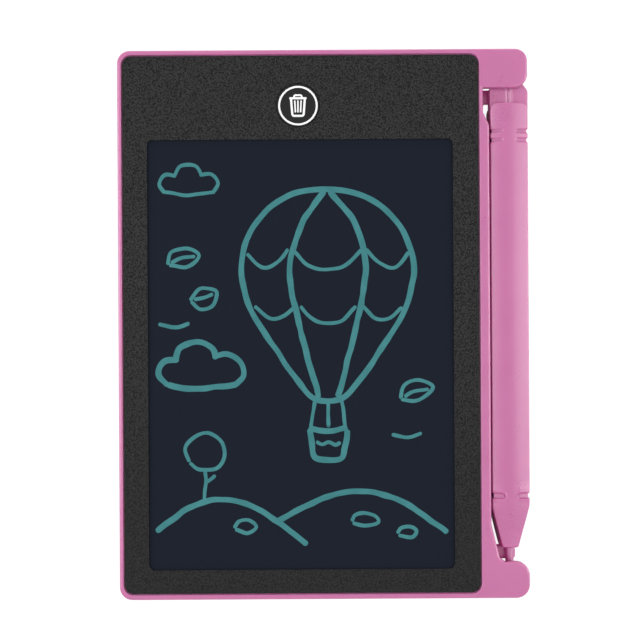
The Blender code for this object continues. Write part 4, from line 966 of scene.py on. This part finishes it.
def eraseButton():
    low, high = boxOf("erase_button")
    centre = (low + high) / 2
    profile = buttonProfile(low, high)
    addPiece("eraseButton", [turned(profile, (*centre[:2], 0), 128)], "buttonPlastic", "button",
             ("erase_button",))
    level, ink = high[2] - buttonShape["printSunk"], buttonShape["print"]
    centre[:2] += buttonShape["printOff"]
    inner, outer = buttonShape["ringInner"], buttonShape["ringOuter"]
    ring = [(inner, level), (inner, level + ink), (outer, level + ink), (outer, level), (inner, level)]
    addPiece("buttonRing", [turned(ring, (*centre[:2], 0), 160)], "whiteInk", "button")
    strokes = []
    for number, (corners, width) in enumerate(binSign):
        path = spreadPoints(roundedOutline(corners, 10) * mm + centre[:2], buttonShape["printGap"])
        strokes.append(brushStroke(path, width * mm, level, ink + number * buttonShape["printStep"],
                                   swell=buttonShape["printSwell"]))
    addPiece("binSign", strokes, "whiteInk", "button")


eraseButton()
print("erase button done")


# line drawing on the film

drawing = {
    "main": 1.25,         # widths in mm
    "detail": 0.80,
    "gap": 0.22,          # mm between the points of a stroke
    "wobble": 0.14,
    "wobbleEvery": 14,    # points
    "widthWobble": 0.10,
    "widthEvery": 9,
    "ink": 0.006 * mm,
    "sunk": 0.001 * mm,
    "step": 0.0002 * mm,  # each stroke is this much higher than the last
    "seed": 12,
}

# x and y in turn, in mm from the window's middle; each stroke runs smoothly through its points
balloon = [5.6, 35, 14.6, 33, 21.2, 27, 24, 18.5, 22.2, 9.5, 17.4, 1.6, 12.6, -5.2, 8.6, -9.4, 2.8, -9.5,
           -1.2, -5, -6, 2, -10.8, 10, -12.6, 18.8, -9.8, 27.4, -3.2, 33.4]
mainStrokes = [
    [5.2, 34.8, 0.6, 28.2, -2.2, 18.6, -0.6, 7.4, 3.8, -9.2],
    [6.2, 34.8, 11.4, 28, 13.8, 18.4, 12, 7.2, 7.8, -9.2], [1.4, -15.6, 5.6, -16.2, 9.9, -15.7],
    [1.6, -15.8, 2.3, -19.6, 3, -22, 5.8, -22.5, 8.5, -22, 9.2, -19.4, 9.8, -15.8],
    [-31, -37.4, -24, -32.6, -16.6, -30.6, -8.8, -33, -2.4, -37.6, 1.2, -40.4],
    [-5.4, -35.4, 2, -31.6, 10.4, -29, 18.6, -30.2, 25.2, -33.8, 30.8, -38],
    [-28.2, -6.5, -30.3, -4.2, -29, -1.4, -26, -1],
    [-26.7, -1.5, -25.6, 1.6, -22, 2.9, -18.8, 1.6, -17.9, -0.9],
    [-18.7, -0.5, -15.6, 0.1, -12.7, -1.7, -12.2, -4.6, -14, -6.5],
    [-28.7, -6.3, -24.6, -7, -18.4, -6.9, -13.5, -6.3],
]
detailStrokes = [
    [2.9, -9.6, 2.4, -12.6, 2, -15.4], [5.7, -9.6, 5.6, -12.6, 5.7, -15.6],
    [8.5, -9.5, 9, -12.4, 9.4, -15.4], [3, -18.6, 4.4, -19.2, 5.8, -18.7, 7.2, -19.3, 8.4, -18.7],
    [-11.4, 21.6, -8, 18.4, -5, 19.4, -2.6, 22.4], [-1.8, 22.2, 2, 18.6, 8.6, 18.4, 13, 22.2],
    [13.8, 22.4, 16.8, 19.2, 20.2, 18.4, 23, 21.6], [-10, 10.4, -6.6, 7.6, -3.6, 8.2, -1.2, 10.2],
    [-0.2, 10.4, 3.4, 7, 8.2, 7, 11.8, 10.2], [12.8, 10.6, 15.6, 7.8, 18.6, 7.6, 21.6, 10],
    [-28.2, 19, -27.4, 21.8, -24.2, 22.6, -21.6, 21.2, -24, 18.8, -28, 19],
    [-27.6, 19.4, -25, 20.6, -22.4, 21],
    [-23.4, 11.6, -21, 14.2, -17.8, 13.4, -18.6, 10.6, -21.2, 9.8, -23.2, 11.4],
    [-22.6, 11.8, -20.4, 12.2, -18.6, 12.8],
    [21, -9.6, 22, -6.6, 25.2, -5.6, 28, -7.2, 25, -9.8, 21.2, -9.7], [21.8, -9.1, 24.2, -8, 27, -7.4],
    [-28.8, 34.4, -30, 36.2, -28.6, 38.2, -26.2, 37.9], [-26.8, 37.6, -25.4, 40, -22.2, 40.2, -20.7, 38],
    [-21.3, 38.1, -18.8, 38.2, -17.5, 36.4, -18.3, 34.5], [-29.2, 34.6, -23.6, 33.9, -17.9, 34.6],
    [-20.6, -31.2, -20.4, -27.6, -20.6, -24.6], [-20.5, -27.2, -18.4, -25.4],
    [-23.8, -22.6, -24.6, -19.6, -22.6, -17.4, -19.6, -16.6, -17, -18.4, -16.4, -21.6, -18, -24, -21.6,
     -24.4, -23.8, -22.8],
    [10.6, -35.6, 11.4, -34.2, 13.4, -33.7, 15.6, -34.4, 16.2, -35.8, 13.4, -36.5, 10.8, -35.9],
    [20.2, -38.2, 21, -36.9, 22.8, -36.7, 24.2, -37.7, 23.2, -39, 20.4, -38.5],
    [-14.4, -36.8, -13.4, -35.4, -11.2, -35.2, -9.6, -36.6, -11.6, -37.9, -14.2, -37.1],
    [19, -17, 22.4, -17.7, 25.6, -16.8], [-30.2, 6.6, -27, 5.9, -23.6, 6.8],
]


def smoothPath(points, gap, closed=False):
    # a curve through the points: four cubic weights of t times the four nearest points, summed
    if closed:
        points = np.concatenate([points[-1:], points, points[:2]])
    else:
        points = np.concatenate([2 * points[:1] - points[1:2], points, 2 * points[-1:] - points[-2:-1]])
    pieces = []
    for first, second, third, fourth in zip(points, points[1:], points[2:], points[3:]):
        steps = max(int(np.linalg.norm(third - second) / gap), 3)
        t = np.linspace(0, 1, steps, endpoint=False)[:, None]
        square = 2 * first - 5 * second + 4 * third - fourth
        cube = 3 * second - first - 3 * third + fourth
        pieces.append(0.5 * (2 * second + (third - first) * t + square * t ** 2 + cube * t ** 3))
    if not closed:
        pieces.append(points[-2:-1])
    return np.concatenate(pieces)


def slowNoise(random, count, gap):
    # random values every gap points, eased between them
    knots = random.uniform(-1, 1, count // gap + 3)
    at = np.arange(count) / gap
    first = at.astype(int)
    return knots[first] + (knots[first + 1] - knots[first]) * softStep(at - first)


def evenPoints(path, width):
    # the path's points set evenly, and closer together where its round ends are
    length = runOf(path)[-1]
    ends = np.linspace(0, 0.5, 7) * width
    middle = np.arange(0.5 * width, length - 0.5 * width, 0.2)
    return placesAlong(path, np.concatenate([ends[:-1], middle, length - ends[::-1]]))


def lineDrawing():
    filmTop = boxOf("lcd_film")[1][2]
    panelLow, panelHigh = boxOf("front_panel")
    middle = np.array([panelLow[0] + panelShape["left"] + panelHigh[0] - panelShape["right"],
                       panelLow[1] + panelShape["bottom"] + panelHigh[1] - panelShape["top"]]) / 2
    random = np.random.default_rng(drawing["seed"])
    strokes = []
    main, detail = drawing["main"], drawing["detail"]
    jobs = [(balloon, main, True)] + [(line, main, False) for line in mainStrokes]
    jobs += [(line, detail, False) for line in detailStrokes]
    for number, (line, width, closed) in enumerate(jobs):
        path = smoothPath(np.reshape(line, (-1, 2)), drawing["gap"], closed)
        if not closed:
            path = evenPoints(path, width)
        count = len(path)
        fade = np.sin(np.linspace(0, math.pi, count)) ** 0.5 if closed else np.ones(count)
        drift = np.column_stack([slowNoise(random, count, drawing["wobbleEvery"]),
                                 slowNoise(random, count, drawing["wobbleEvery"])])
        path = path + drift * drawing["wobble"] * fade[:, None]
        swing = slowNoise(random, count, drawing["widthEvery"]) * drawing["widthWobble"]
        widths = width * (1 + swing * fade)
        strokes.append(brushStroke(path * mm + middle, widths * mm, filmTop - drawing["sunk"],
                                   drawing["ink"] + number * drawing["step"], closed))
    addPiece("lineDrawing", strokes, "drawnLine", "tablet")


lineDrawing()
print("drawing done")


# housing, battery cover and its screw

# the slanted shoulder beside the stylus's taper starts lower and stands a little further off
shoulderMoves = (
    ((34.0 * mm, 35.3 * mm, -41.8 * mm, -41.3 * mm), (0, -1.0 * mm)),
    ((35.4 * mm, 36.7 * mm, -48.0 * mm, -47.6 * mm), (-0.143 * mm, 0)),
    ((36.4 * mm, 37.1 * mm, -49.8 * mm, -49.4 * mm), (-0.12 * mm, 0)),
)

softenedCopy("rearHousing", "rear_housing", "housingPlasticRestGlow", "tablet", 0.06 * mm,
             shoulderMoves)
softenedCopy("batteryCover", "battery_cover", "pinkPlastic", "tablet", 0.08 * mm)
softenedCopy("batteryCoverScrew", "battery_cover_screw", "steel", "tablet", 0.04 * mm)
print("housing and battery cover done")


# floor, light and camera

setting = {
    "ambient": 0.48,    # what the white room gives to matt surfaces
    "floorGlow": 0.95,  # for the camera alone, over a little paint that takes the shadow
    "floorPaint": 0.14,
    "floorSize": 1.6,
    "floorDrop": 0.02 * mm,
}

softboxes = {
    # place, size in metres, power in watts; each points at the tablet's middle
    "left": ((-0.46, 0.02, 0.44), (0.30, 0.62), 1.80),
    "right": ((0.46, 0.02, 0.44), (0.30, 0.62), 1.10),
    "rightLow": ((0.60, 0.02, 0.14), (0.16, 0.60), 0.85),
    "leftLow": ((-0.60, 0.02, 0.14), (0.16, 0.60), 0.35),
    "top": ((0.02, 0.62, 0.16), (0.60, 0.16), 0.80),
    "bottom": ((0.02, -0.48, 0.48), (0.60, 0.30), 0.30),
}


def whiteRoom():
    # what the camera, a mirror or glass sees is white; scattered light gets the ambient strength
    world = bpy.data.worlds.new("whiteRoom")
    s = Shader(world)
    camera, glossy, through = (s.node("LightPath", output=name) for name in
                               ("Is Camera Ray", "Is Glossy Ray", "Is Transmission Ray"))
    seen = s.maths("MINIMUM", camera + glossy + through, 1.0)
    strength = seen + (1 - seen) * setting["ambient"]
    s.end("World", s.node("Background", None, {"Color": (1.0, 1.0, 1.0), "Strength": strength}))
    bpy.context.scene.world = world


def paleFloor():
    half = setting["floorSize"] / 2
    height = cadSize[0].z - setting["floorDrop"]
    mesh = bpy.data.meshes.new("floor")
    mesh.from_pydata([(-half, -half, height), (half, -half, height), (half, half, height),
                      (-half, half, height)], [], [(0, 1, 2, 3)])
    material = bpy.data.materials.new("paleFloor")
    s = Shader(material)
    seen = s.node("LightPath", output="Is Camera Ray")
    paper = s.noise(4 * mm, 2)
    paint = s.node("BsdfDiffuse", None, {"Color": s.blend(paper, (0.97, 0.97, 0.97), (1.0, 1.0, 1.0))})
    dim = s.node("BsdfDiffuse", None, {"Color": (setting["floorPaint"],) * 3})
    glow = s.node("Emission", None, {"Color": (1.0, 1.0, 1.0), "Strength": setting["floorGlow"]})
    lit = s.node("AddShader", None, {0: dim, 1: glow})
    s.end("Material", s.node("MixShader", None, {0: seen, 1: paint, 2: lit}))
    mesh.materials.append(material)
    addObject("floor", mesh)


def aimLamp(name, place, size, power):
    data = bpy.data.lights.new(name, "AREA")
    data.shape = "RECTANGLE"
    data.size, data.size_y = size
    data.energy = power
    lamp = addObject(name, data)
    lamp.location = place
    lamp.rotation_euler = (-lamp.location).to_track_quat("-Z", "Y").to_euler()


shot = {
    "aimX": -0.93 * mm,
    "aimY": 0.94 * mm,
    "planeZ": 7.0 * mm,  # the rim's height, where the frame is frameWidth across
    "height": 300 * mm,  # camera above that plane
    "frameWidth": 135.42 * mm,
    "sensor": 36,
    "turn": -0.33,       # degrees
}


def aimCamera():
    data = bpy.data.cameras.new("camera")
    data.sensor_width = shot["sensor"]
    data.lens = shot["sensor"] * shot["height"] / shot["frameWidth"]
    data.clip_start = 0.01
    camera = addObject("camera", data)
    camera.location = (shot["aimX"], shot["aimY"], shot["planeZ"] + shot["height"])
    camera.rotation_euler = (0, 0, math.radians(shot["turn"]))
    bpy.context.scene.camera = camera


whiteRoom()
paleFloor()
for name, (place, size, power) in softboxes.items():
    aimLamp(name, place, size, power)
aimCamera()
bpy.context.scene.view_settings.view_transform = "Standard"
print("floor, lamps and camera are in place")
